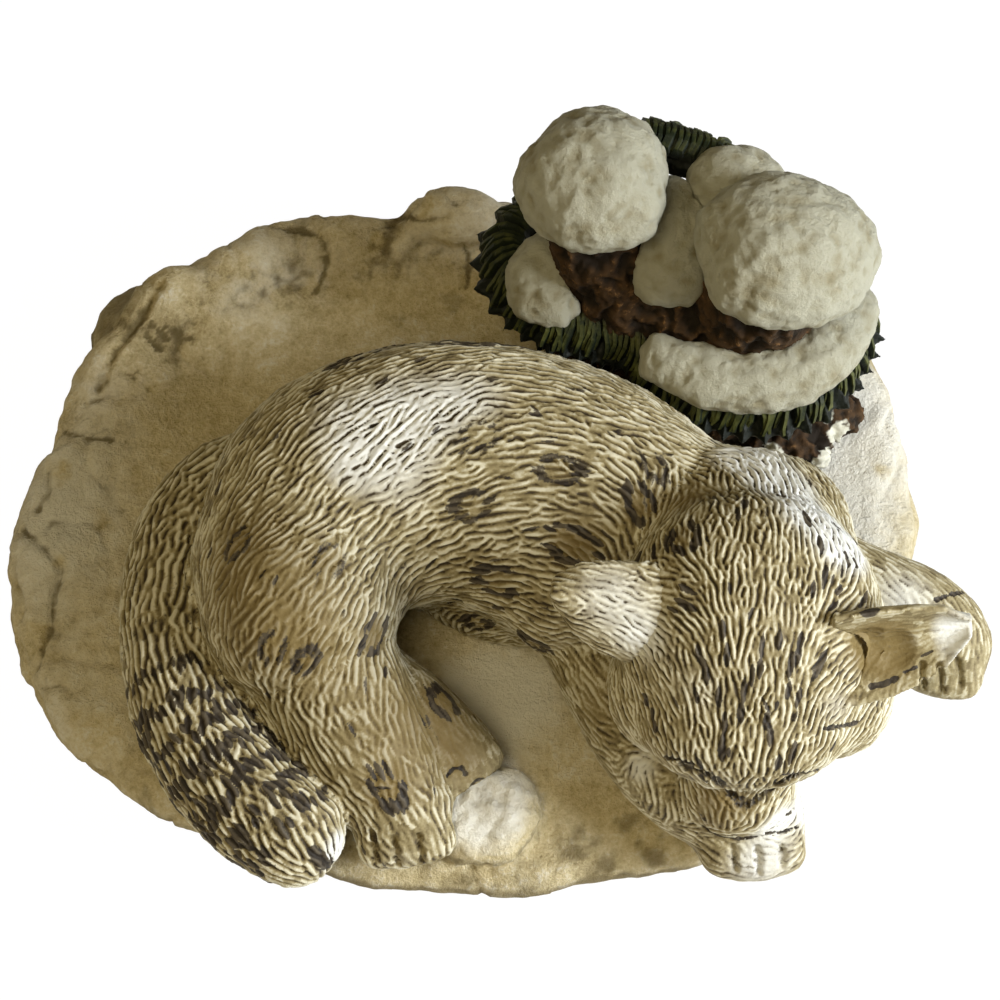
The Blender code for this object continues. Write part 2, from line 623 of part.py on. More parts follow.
def make_bough(name, twig, neighbours):
    """A corrugated fringe of needles that hangs from a bent twig."""
    ground = UP * STUMP_GROUND + STUMP_FOOT
    length = sum((in_mm(b) - in_mm(a)).length for a, b in zip(twig, twig[1:]))
    samples = 2 * max(3, round(length / NEEDLE_PITCH)) + 1
    line = [Vector(row) for row in smooth_rows([tuple(ground + in_mm(p)) for p in twig], 24)]
    line = even_points(line, samples)
    bm = bmesh.new()
    rings = []
    for k, point in enumerate(line):
        along = line[min(k + 2, samples - 1)] - line[max(k - 2, 0)]
        out = UP.cross(along).normalized()
        if out.dot(point - ground) < 0:
            out.negate()
        proud = 1.0 if k % 2 else 0.74
        reach, deep = NEEDLE_LENGTH * proud, NEEDLE_DEPTH
        profile = (
            (-0.28, 0.10), (0.05, 0.42 * proud), (0.48, 0.34 * proud), (1.0, -0.62),
            (0.86, -0.95), (0.40, -0.62), (-0.28, -0.50),
        )
        rings.append([bm.verts.new(point + out * x * reach + UP * z * deep) for x, z in profile])
    ends = (rings[0], rings[-1])
    caps = [[bm.verts.new(sum((v.co for v in ring), Vector()) / len(ring))] for ring in ends]
    bridge_rings(bm, [caps[0], *rings, caps[1]])
    bough = make_object(name, bm)
    remember_form(bough)
    seat(bough, *neighbours)
    paint(bough, FIR_GREEN, 0.7)


def make_snow_lump(name, lump, neighbours):
    """A heap of snow: a dome with a blunt underside that settles over what carries it."""
    place, sizes, lean = lump
    bm = bmesh.new()
    bmesh.ops.create_uvsphere(bm, u_segments=16, v_segments=10, radius=1)
    for vert in bm.verts:
        angle = math.atan2(vert.co.y, vert.co.x)
        wobble = 1 + 0.045 * math.sin(3 * angle + place[0]) + 0.03 * math.sin(5 * angle + place[1])
        sag = 0.62 if vert.co.z < 0 else 1.0
        stretch = (wobble * sizes[0] / 2, wobble * sizes[1] / 2, sag * sizes[2] / 2)
        vert.co = [along * share for along, share in zip(vert.co, stretch)]
    snow = make_object(name, bm)
    tilt = Matrix.Rotation(math.radians(lean[0]), 4, "X") @ Matrix.Rotation(math.radians(lean[1]), 4, "Y")
    ground = UP * STUMP_GROUND + STUMP_FOOT
    snow.data.transform(Matrix.Translation(ground + in_mm(place)) @ tilt @ Matrix.Scale(MM, 4))
    remember_form(snow)
    seat(snow, *neighbours)
    paint(snow, SNOW_WHITE, 0.75)


def make_front_drift():
    ground = UP * STUMP_GROUND + STUMP_FOOT
    bm = bmesh.new()
    half = LEDGE_THICKNESS / 2
    rows = [(*(ground + in_mm(s)), s[3] * half * 1.12, s[3] * half * 0.9) for s in FRONT_LEDGE_SNOW]
    add_tube(bm, rows, sides=12, steps=2)
    drift = make_object("front_ledge_snow", bm)
    remember_form(drift)
    seat(drift, "stump", "torso", "front_bough", "middle_bough")
    paint(drift, SNOW_WHITE, 0.75)


def main():
    clear_scene()
    make_felt_pad()
    make_snow_base()
    make_torso()
    make_tail()
    make_leg("left_hind_foot", LEFT_HIND_FOOT, LEFT_HIND_PAW, ("snow_base", "torso", "tail"), 460)
    hind_neighbours = ("snow_base", "torso", "tail", "left_hind_foot")
    make_leg("right_hind_leg", RIGHT_HIND_LEG, RIGHT_HIND_PAW, hind_neighbours, 440)
    make_leg("right_foreleg", RIGHT_FORELEG, RIGHT_FOREPAW, ("snow_base", "torso", "left_hind_foot"), 560)
    make_leg("left_foreleg", LEFT_FORELEG, LEFT_FOREPAW, ("snow_base", "torso", "right_foreleg"), 560)
    make_head()
    make_ear("right_ear", RIGHT_EAR)
    make_ear("left_ear", LEFT_EAR)
    make_stump()
    near_stump = ("snow_base", "torso", "stump", "left_foreleg", "head")
    make_bough("front_bough", FRONT_BOUGH, near_stump)
    make_bough("middle_bough", MIDDLE_BOUGH, (*near_stump, "front_bough"))
    make_bough("left_bough", LEFT_BOUGH, (*near_stump, "middle_bough"))
    make_bough("rear_bough", REAR_BOUGH, near_stump)
    make_snow_lump("left_snow_cap", LEFT_CAP, ("stump", "rear_bough", "left_bough"))
    make_snow_lump("right_snow_cap", RIGHT_CAP, ("stump", "rear_bough", "left_snow_cap"))
    make_snow_lump("rear_snow_cap", REAR_CAP, ("stump", "rear_bough", "left_snow_cap", "right_snow_cap"))
    caps = ("left_snow_cap", "right_snow_cap", "rear_snow_cap")
    make_snow_lump("saddle_snow", SADDLE_SNOW, ("stump", *caps))
    make_snow_lump("left_ledge_snow", LEFT_LEDGE_SNOW, ("stump", "left_bough", "middle_bough", *caps))
    make_front_drift()


main()
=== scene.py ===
import math
import random

import bmesh
import bpy
import numpy as np
from mathutils import Matrix, Vector, kdtree, noise
from mathutils.bvhtree import BVHTree


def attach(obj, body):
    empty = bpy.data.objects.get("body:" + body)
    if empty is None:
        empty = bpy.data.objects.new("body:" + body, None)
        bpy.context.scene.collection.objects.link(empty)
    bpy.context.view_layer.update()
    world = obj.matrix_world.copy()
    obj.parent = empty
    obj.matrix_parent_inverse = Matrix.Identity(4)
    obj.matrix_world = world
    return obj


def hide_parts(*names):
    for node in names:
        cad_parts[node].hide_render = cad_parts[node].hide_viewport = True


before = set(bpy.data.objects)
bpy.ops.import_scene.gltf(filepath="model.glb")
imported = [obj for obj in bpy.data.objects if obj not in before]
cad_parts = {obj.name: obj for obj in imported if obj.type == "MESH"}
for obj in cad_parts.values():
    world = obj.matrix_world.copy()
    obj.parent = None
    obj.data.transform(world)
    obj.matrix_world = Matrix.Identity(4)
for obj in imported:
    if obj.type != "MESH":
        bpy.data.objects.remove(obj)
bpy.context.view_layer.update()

# Camera
# The photograph looks down on the face from well above, so the camera stands 62 degrees up. Marks on the
# figurine are placed by where they are seen, so a pixel of the picture can be followed back to the surface.
MM = 0.001
PICTURE_SIZE = 1000
PIXEL_AT_TARGET = 0.155 * MM
SENSOR_WIDTH = 36.0
CAMERA_ELEVATION = math.radians(62)
CAMERA_DISTANCE = 430 * MM
CAMERA_TARGET = Vector((0, 0, 24 * MM))
CAMERA_NEAREST = 10 * MM

look = Vector((0, math.cos(CAMERA_ELEVATION), -math.sin(CAMERA_ELEVATION)))
camera_place = CAMERA_TARGET - look * CAMERA_DISTANCE
bpy.ops.object.select_all(action="DESELECT")
bpy.ops.object.camera_add(location=camera_place, rotation=(math.pi / 2 - CAMERA_ELEVATION, 0, 0))
camera = bpy.context.object
camera.data.sensor_width = SENSOR_WIDTH
camera.data.lens = SENSOR_WIDTH * CAMERA_DISTANCE / (PIXEL_AT_TARGET * PICTURE_SIZE)
camera.data.clip_start = CAMERA_NEAREST
bpy.context.scene.camera = camera


def sight_line(across, down):
    """The direction from the camera through a pixel of the picture."""
    right = Vector((1, 0, 0))
    over = right.cross(look)
    reach = CAMERA_DISTANCE / PIXEL_AT_TARGET
    half = PICTURE_SIZE / 2
    return (look + right * (across - half) / reach - over * (down - half) / reach).normalized()


# Felt pad
# A pad of brown felt is glued under the base, so that the resin doesn't scratch a shelf.
# It keeps its CAD shape and gets a pressed-fibre finish.
FELT_COLOUR = (0.10, 0.075, 0.05, 1)
FELT_LIGHT = (0.17, 0.13, 0.09, 1)
FELT_TONES = ((0.35, FELT_COLOUR), (0.7, FELT_LIGHT))


class Finish:
    """A node material that is built up one node at a time."""

    def __init__(self, name, roughness, specular):
        self.material = bpy.data.materials.new(name)
        self.material.use_nodes = True
        self.nodes = self.material.node_tree.nodes
        self.links = self.material.node_tree.links
        self.shader = self.nodes["Principled BSDF"]
        self.shader.inputs["Roughness"].default_value = roughness
        self.shader.inputs["Specular IOR Level"].default_value = specular
        self.coordinates = self.nodes.new("ShaderNodeTexCoord").outputs["Object"]

    def link(self, source, socket):
        if hasattr(source, "is_output"):
            self.links.new(source, socket)
        else:
            socket.default_value = source

    def attribute(self, name):
        node = self.nodes.new("ShaderNodeAttribute")
        node.attribute_name = name
        return node.outputs["Fac"]

    def grain(self, size_mm, detail=3.0, roughness=0.55):
        """Cloudy noise with lumps of about the given size."""
        node = self.nodes.new("ShaderNodeTexNoise")
        node.inputs["Scale"].default_value = 1 / (size_mm * MM)
        node.inputs["Detail"].default_value = detail
        node.inputs["Roughness"].default_value = roughness
        self.link(self.coordinates, node.inputs["Vector"])
        return node.outputs["Fac"]

    def sum_up(self, operation, first, second):
        node = self.nodes.new("ShaderNodeMath")
        node.operation = operation
        self.link(first, node.inputs[0])
        self.link(second, node.inputs[1])
        return node.outputs[0]

    def plus(self, first, second):
        return self.sum_up("ADD", first, second)

    def times(self, first, second):
        return self.sum_up("MULTIPLY", first, second)

    def swing(self, value, weight, middle=0.5):
        """How far a value lies from its middle, times a weight."""
        return self.times(self.sum_up("SUBTRACT", value, middle), weight)

    def between(self, value, low, high, to_low=0.0, to_high=1.0):
        """A smooth step of a value from low to high."""
        node = self.nodes.new("ShaderNodeMapRange")
        node.interpolation_type = "SMOOTHSTEP"
        for socket, number in zip(("From Min", "From Max", "To Min", "To Max"), (low, high, to_low, to_high)):
            node.inputs[socket].default_value = number
        self.link(value, node.inputs["Value"])
        return node.outputs["Result"]

    def mix(self, share, first, second):
        node = self.nodes.new("ShaderNodeMix")
        node.data_type = "RGBA"
        colours = [socket for socket in node.inputs if socket.type == "RGBA"]
        self.link(share, node.inputs["Factor"])
        self.link(first, colours[0])
        self.link(second, colours[1])
        return next(socket for socket in node.outputs if socket.type == "RGBA")

    def ramp(self, value, stops):
        """Colours along a value, as (place, colour) stops."""
        node = self.nodes.new("ShaderNodeValToRGB")
        ramp = node.color_ramp
        while len(ramp.elements) < len(stops):
            ramp.elements.new(0.5)
        for element, (place, colour) in zip(ramp.elements, stops):
            element.position = place
            element.color = colour
        self.link(value, node.inputs["Fac"])
        return node.outputs["Color"]

    def paint(self, colour):
        self.link(colour, self.shader.inputs["Base Color"])

    def emboss(self, height, depth_mm):
        node = self.nodes.new("ShaderNodeBump")
        node.inputs["Distance"].default_value = depth_mm * MM
        self.link(height, node.inputs["Height"])
        self.links.new(node.outputs["Normal"], self.shader.inputs["Normal"])


def dress(piece, material):
    """Gives a piece one material, in place of any that it has."""
    piece.data.materials.clear()
    piece.data.materials.append(material)


def felt_finish():
    finish = Finish("brown_felt", roughness=0.95, specular=0.1)
    fibres = finish.grain(0.5, detail=6.0, roughness=0.75)
    finish.paint(finish.ramp(fibres, FELT_TONES))
    finish.emboss(fibres, depth_mm=0.2)
    return finish.material


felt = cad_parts["felt_pad"]
dress(felt, felt_finish())

# Rock base
# One resin casting, carved as a rock slab under old snow, with a raised rim of rounded stones behind the
# sleeper. It is painted snow white, then washed with tan and brown that stay in the hollows.
# Lighter and darker patches are painted over that where light and shade fall: lighter on the raised rim, the
# left rim and between the legs, darker on the outer walls, the far boulder and the back slope.
BASE_GRAIN = 0.62 * MM
BASE_SOFTENING = 10
SOFTENING_FACTOR = 0.5
MERGE = 0.001 * MM
STONE_SIZE = 22 * MM
STONE_DEPTH = 0.9 * MM
STONE_ROUNDNESS = 3.2
STONE_LEVEL = 0.75
SNOW_LUMP_SIZE = 13 * MM
SNOW_LUMP_DEPTH = 0.35 * MM
RIM_LUMP_DEPTH = 1.5 * MM
SNOW_PIT_SIZE = 1.9 * MM
SNOW_PIT_DEPTH = 0.16 * MM
# The small snow mound by the hind foot is rougher: x, y, z in mm
MOUND = (-3.0, -47.0, 13.0)
MOUND_REACH = 10 * MM
MOUND_ROUGHNESS = 1.0 * MM
MOUND_LUMP = 5.0 * MM
MOUND_EDGE = 4
MOUND_PITS = 3.5
RIM_START = 13.2 * MM
RIM_FULL = 17.5 * MM
# No carving at the felt's edge; it reaches its full depth over a short rise above that
CARVING_START = 2.5 * MM
CARVING_RISE = 2 * MM
# How a face's slope counts as a top or as an outer wall, from the upward part of its normal
TOP_SLOPE = (0.9, 2)
WALL_SLOPE = (1.2, 1.4)
# Creases between the rounded stones, cut in the outer band of the slab
CREASE_SIZE = 17 * MM
CREASE_WIDTH = 0.055
CREASE_DEPTH = 0.6 * MM
CREASE_PAINT = 0.25
BAND_RADII = (76 * MM, 61 * MM)
BAND_START = 0.74
BAND_FULL = 0.84
# Cracks and scratches in the rim, as pixels of the picture, then half width and depth in mm
BASE_CRACKS = (
    (((272, 228), (300, 229), (320, 236), (328, 250), (326, 270), (316, 292)), 0.8, 0.7),
    (((97, 388), (115, 350), (140, 316), (160, 288)), 1.3, 1.0),
    (((395, 212), (420, 222), (448, 216)), 0.8, 0.6),
    (((150, 322), (170, 338)), 0.7, 0.5), (((146, 333), (162, 350)), 0.7, 0.5),
    (((165, 326), (192, 338)), 0.6, 0.5), (((126, 372), (150, 390)), 0.8, 0.6),
    (((138, 372), (155, 386)), 0.6, 0.5), (((90, 402), (106, 396)), 0.9, 0.7),
    (((64, 432), (88, 437), (112, 440)), 0.8, 0.6),
    (((18, 529), (39, 542), (63, 568), (55, 592), (50, 626), (37, 658), (32, 672)), 1.0, 0.9),
    (((36, 508), (48, 490), (47, 470)), 1.0, 0.9), (((40, 690), (60, 686), (78, 700)), 0.8, 0.6),
    (((440, 192), (455, 205), (476, 203)), 0.7, 0.5), (((460, 235), (470, 262), (466, 290)), 0.7, 0.4),
)
# Brown stains on the rim: pixel and reach in mm
BASE_STAINS = (
    (238, 266, 3.0), (222, 284, 2.2), (286, 300, 3.2), (310, 290, 2.2), (180, 335, 2.4), (450, 305, 3.5),
    (400, 318, 2.6), (100, 520, 2.4), (62, 470, 2.4), (30, 640, 3.0), (60, 560, 2.0), (95, 735, 4.0),
    (150, 800, 3.5), (425, 205, 2.6), (380, 240, 2.0), (520, 868, 4.5), (570, 842, 4.5), (630, 818, 4.0),
    (600, 868, 4.5), (460, 878, 4.0), (655, 862, 4.0), (540, 800, 3.0), (880, 470, 2.6),
)
STAIN_RAGGED = 2.2 * MM
STAIN_STRENGTH = 0.6
STAIN_CORE = 1.1
STAIN_SWAY = 0.7
STAIN_FALL = 1.5
STAIN_LIMIT = 2.5
# Painted shade: the steepest outer walls are painted darker
EDGE_PAINTED_SHADE = 0.55
EDGE_START = 0.75
# Painted light: the raised rim is painted lighter
RIM_PAINTED_LIGHT = 0.40
WASH_AND_LIGHT_ON_WALLS = 0.6
WASH_AND_LIGHT_FALL = 1.6
BASE_SNOW = (0.65, 0.555, 0.345, 1)
BASE_TAN = (0.47, 0.383, 0.207, 1)
BASE_STAIN_AND_SHADE = (0.15, 0.115, 0.050, 1)
BASE_WHITE = (0.78, 0.75, 0.66, 1)
BASE_TONES = ((0.22, BASE_STAIN_AND_SHADE), (0.38, BASE_TAN), (0.54, BASE_SNOW), (0.72, BASE_WHITE))
# How much each grain counts in the tone of the paint, at the edge of fresh snow and painted light, and in
# the bumps
MOTTLE_WEIGHT = 0.25
PATCH_WEIGHT = 0.25
SAND_WEIGHT = 0.55
HOLLOW_WEIGHT = 0.45
FRESH_AND_LIGHT_RAGGED = 0.7
SAND_BUMP = 1.4
# Where one paint fades into another: from, to, then how much there is at each end
FRESH_AND_LIGHT_FADE = (0.05, 0.9)
STAIN_AND_SHADE_FADE = (-0.1, -1.0, 0.0, 0.8)
CREVICE_FADE = (0.36, 0.08, 0.0, 0.8)
# What the carving adds to the relief that the paint follows
BASE_LEVEL = 0.55
LUMP_RELIEF = 0.16
PIT_RELIEF = 0.2
JOINT_RELIEF = 0.3
CRACK_RELIEF = 0.34
# Fresher snow, older brown, and painted light and shade: x, y, z and reach in mm, then how white (above 0) or
# brown (below 0). The white on the left rim and between the legs is painted light; the brown on the far
# boulder and on the back slope is painted shade.
BASE_WASHES_AND_PAINTED_LIGHT = (
    (60, 20, 16, 20, 0.80), (50, 12, 16, 14, 0.60), (-3, -47, 14, 9, 1.6), (58, -2, 14, 12, 0.4),
    (-58, 38, 12, 11, -1.7), (-70, 0, 14, 20, 0.55), (-66, -30, 10, 18, 0.40), (-25, 54, 20, 12, -0.2),
    (10, -55, 6, 25, -0.35), (-20, -54, 6, 18, -0.35), (0, -28, 12, 13, 1.2), (15, -42, 12, 10, 0.4),
)
# A brush stroke's width, how far that varies, and how often along the stroke
BRUSH_WIDTH = 0.75
BRUSH_SWAY = 0.6
BRUSH_RAGGED = 1300
# How clouds of noise change from one octave to the next
CLOUD_FALL = 1.0
CLOUD_STEP = 2.0


def activate(piece):
    """Selects one piece alone, for an operator to work on."""
    bpy.ops.object.select_all(action="DESELECT")
    bpy.context.view_layer.objects.active = piece
    piece.select_set(True)


def fine_copy(name, nodes, grain, softening, swell=0.0):
    """Merged copies of CAD nodes, swollen a little, remeshed to one even fine skin and softened."""
    bm = bmesh.new()
    for node in nodes:
        bm.from_mesh(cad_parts[node].data)
    bmesh.ops.remove_doubles(bm, verts=bm.verts, dist=MERGE)
    bm.normal_update()
    for vert in bm.verts:
        vert.co += vert.normal * swell
    mesh = bpy.data.meshes.new(name)
    bm.to_mesh(mesh)
    bm.free()
    piece = bpy.data.objects.new(name, mesh)
    bpy.context.scene.collection.objects.link(piece)
    activate(piece)
    remesh = piece.modifiers.new("even_grain", "REMESH")
    remesh.mode = "VOXEL"
    remesh.voxel_size = grain
    bpy.ops.object.modifier_apply(modifier=remesh.name)
    soften = piece.modifiers.new("soften", "SMOOTH")
    soften.factor = SOFTENING_FACTOR
    soften.iterations = softening
    bpy.ops.object.modifier_apply(modifier=soften.name)
    bpy.ops.object.shade_smooth()
    return piece


def points_of(piece):
    """A piece's points and their normals."""
    count = len(piece.data.vertices)
    points = np.empty(count * 3)
    normals = np.empty(count * 3)
    piece.data.vertices.foreach_get("co", points)
    piece.data.vertices.foreach_get("normal", normals)
    return points.reshape(-1, 3), normals.reshape(-1, 3)


def move_points(piece, points):
    piece.data.vertices.foreach_set("co", np.ascontiguousarray(points).ravel())
    piece.data.update()


def store(piece, name, values):
    """Keeps a value for each point, for the piece's finish to read."""
    attribute = piece.data.attributes.new(name, "FLOAT", "POINT")
    attribute.data.foreach_set("value", np.ascontiguousarray(values, dtype=np.float32))


def cloudy(points, size, octaves=3):
    """Noise from about -1 to 1 at each point."""
    return np.array([noise.fractal(Vector(p) / size, CLOUD_FALL, CLOUD_STEP, octaves) for p in points])


def shares_away(points, place, reach):
    """How far each point is from a place, in shares of a reach."""
    return np.linalg.norm(points - np.array(place), axis=1) / reach


def surface_tree(piece):
    return BVHTree.FromObject(piece, bpy.context.evaluated_depsgraph_get())


def point_tree(points):
    tree = kdtree.KDTree(len(points))
    for i, point in enumerate(points):
        tree.insert(point, i)
    tree.balance()
    return tree


def seen_on(surface, across, down):
    """The point of a surface that a pixel shows, and its normal."""
    point, normal, _, _ = surface.ray_cast(camera_place, sight_line(across, down))
    return point, normal


def seen_rows(surface, rows):
    """Rows of a table, with the point and the normal that a row's pixel shows in place of the pixel."""
    for across, down, *rest in rows:
        point, normal = seen_on(surface, across, down)
        if point is not None:
            yield point, normal, *rest


def seen_line(surface, pixels, step=2.0):
    """Points of a surface along a line of pixels."""
    found = []
    for (x0, y0), (x1, y1) in zip(pixels, pixels[1:]):
        count = max(1, round(math.hypot(x1 - x0, y1 - y0) / step))
        for k in range(count + 1):
            point, _ = seen_on(surface, x0 + (x1 - x0) * k / count, y0 + (y1 - y0) * k / count)
            if point is not None:
                found.append(point)
    return found


def brush_along(tree, count, line, half_width):
    """How strongly each point is touched by a brush drawn along a line, from 0 to 1."""
    touched = np.zeros(count)
    for place in line:
        width = half_width * (BRUSH_WIDTH + BRUSH_SWAY * noise.noise(place * BRUSH_RAGGED))
        for _, index, distance in tree.find_range(place, width):
            touched[index] = max(touched[index], 1 - (distance / width) ** 2)
    return touched


def washes_and_painted_light_at(points, washes):
    """The sum of soft washes of paint, and of painted light and shade, at each point."""
    total = np.zeros(len(points))
    for x, y, z, reach, strength in washes:
        away = shares_away(points, np.array((x, y, z)) * MM, reach * MM)
        total += strength * np.exp(-WASH_AND_LIGHT_FALL * away**2)
    return total


def base_finish():
    finish = Finish("washed_rock", roughness=0.72, specular=0.25)
    mottle = finish.grain(7.0, detail=5.0, roughness=0.6)
    patches = finish.grain(2.6, detail=6.0, roughness=0.68)
    sand = finish.grain(0.7, detail=4.0, roughness=0.75)
    relief = finish.attribute("relief")
    wash_and_painted_light = finish.attribute("wash_and_painted_light")
    tone = 0.5
    for part, weight in ((mottle, MOTTLE_WEIGHT), (patches, PATCH_WEIGHT), (sand, SAND_WEIGHT)):
        tone = finish.plus(finish.swing(part, weight), tone)
    tone = finish.plus(finish.swing(relief, HOLLOW_WEIGHT, BASE_LEVEL), tone)
    colour = finish.ramp(tone, BASE_TONES)
    # White where the snow is fresh and where light is painted, brown for stains and painted shade
    fresh_and_painted_light = finish.plus(wash_and_painted_light, finish.swing(patches, FRESH_AND_LIGHT_RAGGED))
    colour = finish.mix(finish.between(fresh_and_painted_light, *FRESH_AND_LIGHT_FADE), colour, BASE_WHITE)
    colour = finish.mix(finish.between(fresh_and_painted_light, *STAIN_AND_SHADE_FADE), colour, BASE_STAIN_AND_SHADE)
    colour = finish.mix(finish.between(relief, *CREVICE_FADE), colour, BASE_STAIN_AND_SHADE)
    finish.paint(colour)
    finish.emboss(finish.plus(finish.times(sand, SAND_BUMP), patches), depth_mm=0.5)
    return finish.material


base = fine_copy("carved_rock_base", ["snow_base"], BASE_GRAIN, BASE_SOFTENING)
base_points, base_normals = points_of(base)
base_surface = surface_tree(base)
base_tree = point_tree(base_points)
on_rim = np.clip((base_points[:, 2] - RIM_START) / (RIM_FULL - RIM_START), 0, 1)
upward = np.clip(base_normals[:, 2] * TOP_SLOPE[1] + TOP_SLOPE[0], 0, 1)
outside = np.clip(WALL_SLOPE[0] - base_normals[:, 2] * WALL_SLOPE[1], 0, 1)
above_felt = np.clip((base_points[:, 2] - CARVING_START) / CARVING_RISE, 0, 1)
stones = []
for point in base_points:
    nearest = noise.voronoi(Vector(point) / STONE_SIZE)[0]
    stones.append(min(1.0, (nearest[1] - nearest[0]) * STONE_ROUNDNESS))
stones = np.array(stones)
lumps = cloudy(base_points, SNOW_LUMP_SIZE)
pits = cloudy(base_points, SNOW_PIT_SIZE)
cracks = np.zeros(len(base_points))
crack_depth = np.zeros(len(base_points))
for pixels, half_width, depth in BASE_CRACKS:
    touched = brush_along(base_tree, len(base_points), seen_line(base_surface, pixels), half_width * MM)
    cracks = np.maximum(cracks, touched)
    crack_depth = np.maximum(crack_depth, touched * depth * MM)
radius = np.linalg.norm(base_points[:, :2] / np.array(BAND_RADII), axis=1)
in_band = np.clip((radius - BAND_START) / (BAND_FULL - BAND_START), 0, 1)
creases = np.clip(1 - np.abs(cloudy(base_points, CREASE_SIZE, octaves=2)) / CREASE_WIDTH, 0, 1) * in_band
cracks = np.maximum(cracks, CREASE_PAINT * creases)
crack_depth = np.maximum(crack_depth, CREASE_DEPTH * creases)
on_rock = np.maximum(np.maximum(on_rim, outside), in_band)
bumpy = SNOW_LUMP_DEPTH + (RIM_LUMP_DEPTH - SNOW_LUMP_DEPTH) * on_rock
rise = STONE_DEPTH * (stones - STONE_LEVEL) * on_rim + bumpy * lumps + SNOW_PIT_DEPTH * pits
by_mound = np.exp(-(shares_away(base_points, np.array(MOUND) * MM, MOUND_REACH) ** MOUND_EDGE))
rise += by_mound * (MOUND_ROUGHNESS * cloudy(base_points, MOUND_LUMP) + MOUND_PITS * SNOW_PIT_DEPTH * pits)
rise = (rise - crack_depth) * above_felt
move_points(base, base_points + base_normals * rise[:, None])
relief = BASE_LEVEL + LUMP_RELIEF * lumps + PIT_RELIEF * pits
relief = relief - JOINT_RELIEF * (1 - stones) * on_rim - CRACK_RELIEF * cracks
store(base, "relief", np.clip(relief, 0, 1))
# Washes of paint with painted light and shade among them, weaker on the walls than on the tops
wash_and_painted_light = washes_and_painted_light_at(base_points, BASE_WASHES_AND_PAINTED_LIGHT) * (WASH_AND_LIGHT_ON_WALLS + (1 - WASH_AND_LIGHT_ON_WALLS) * upward)
ragged = cloudy(base_points, STAIN_RAGGED)
for place, _, reach in seen_rows(base_surface, BASE_STAINS):
    away = shares_away(base_points, place, reach * MM)
    stain = np.clip(STAIN_CORE - away + STAIN_SWAY * ragged, 0, 1) ** STAIN_FALL
    wash_and_painted_light -= STAIN_STRENGTH * stain * (away < STAIN_LIMIT)
# Painted light on the raised rim
wash_and_painted_light += RIM_PAINTED_LIGHT * on_rim
# Painted shade on the outer walls
wash_and_painted_light -= EDGE_PAINTED_SHADE * np.clip((outside - EDGE_START) / (1 - EDGE_START), 0, 1)
store(base, "wash_and_painted_light", wash_and_painted_light)
dress(base, base_finish())
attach(base, "root")
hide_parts("snow_base")

# Sleeping snow leopard
# Nine resin castings glued together before the coat is carved over their joints in ridges combed along the
# hair. The coat is painted brown in the grooves and cream on the crests, then short dark strokes along the
# hair make the rosettes, the tail rings and the flecks, and cut lines make the eyes, the mouth and the toes.
# The brown in the grooves and the cream on the crests are partly a wash and dry brushing and partly painted
# shade and painted light; the strokes are greyer on the crests, partly as painted highlight.
RANDOM_START = 41
# Castings, and the grain of their meshes in mm
CAT_PIECES = {
    "torso": 0.29, "tail": 0.28, "left_hind_foot": 0.28, "right_hind_leg": 0.28, "right_foreleg": 0.28,
    "left_foreleg": 0.28, "head": 0.235, "right_ear": 0.22, "left_ear": 0.22,
}
# Ridges of fur on each piece: how long they run on, their pitch and their height in mm
LOCKS = {
    "torso": (4.4, 1.10, 0.72), "tail": (3.6, 1.25, 0.78), "left_hind_foot": (3.2, 0.95, 0.24),
    "right_hind_leg": (4.2, 1.15, 0.52), "right_foreleg": (3.2, 1.00, 0.32),
    "left_foreleg": (3.6, 1.05, 0.24), "head": (3.4, 0.96, 0.64), "right_ear": (3.8, 0.90, 0.40),
    "left_ear": (3.2, 0.90, 0.10),
}
# Least distance between the middles of two locks, in shares of their length and pitch
LOCK_SPACING = (0.42, 0.60)
LOCK_CLEARANCE = 1.0 * MM
LOCK_REACH = 1.5
LOCK_SPREAD = 1.7
# Places tried for each place that a lock can have, then how far the sizes of locks vary
LOCK_TRIES = 5
LENGTH_RANGE = (0.8, 1.2)
PITCH_RANGE = (0.85, 1.15)
HEIGHT_RANGE = (0.6, 1.1)
# The weakest wave that a lock still follows
FIRM_WAVE = 0.1
# Locks with a shade under this start a ridge of their own; strands fade over patches of this size
COMBED = -0.55
STRAND_SIZE = 2.6 * MM
STRAND_LEVEL = 0.95
STRAND_SWAY = 0.9
STRAND_RANGE = (0.35, 1.25)
# Ridges this high or higher are painted with the full difference between crest and groove
# The difference between crest and groove is partly painted light and shade
FULL_CONTRAST = 0.45 * MM
LEAST_CONTRAST = 0.15
CREST_TONE = 0.66
# Ridges stand out above this share of their height and are cut in below it
RIDGE_LEVEL = 0.35
RIDGE_FIRMNESS = 2.5
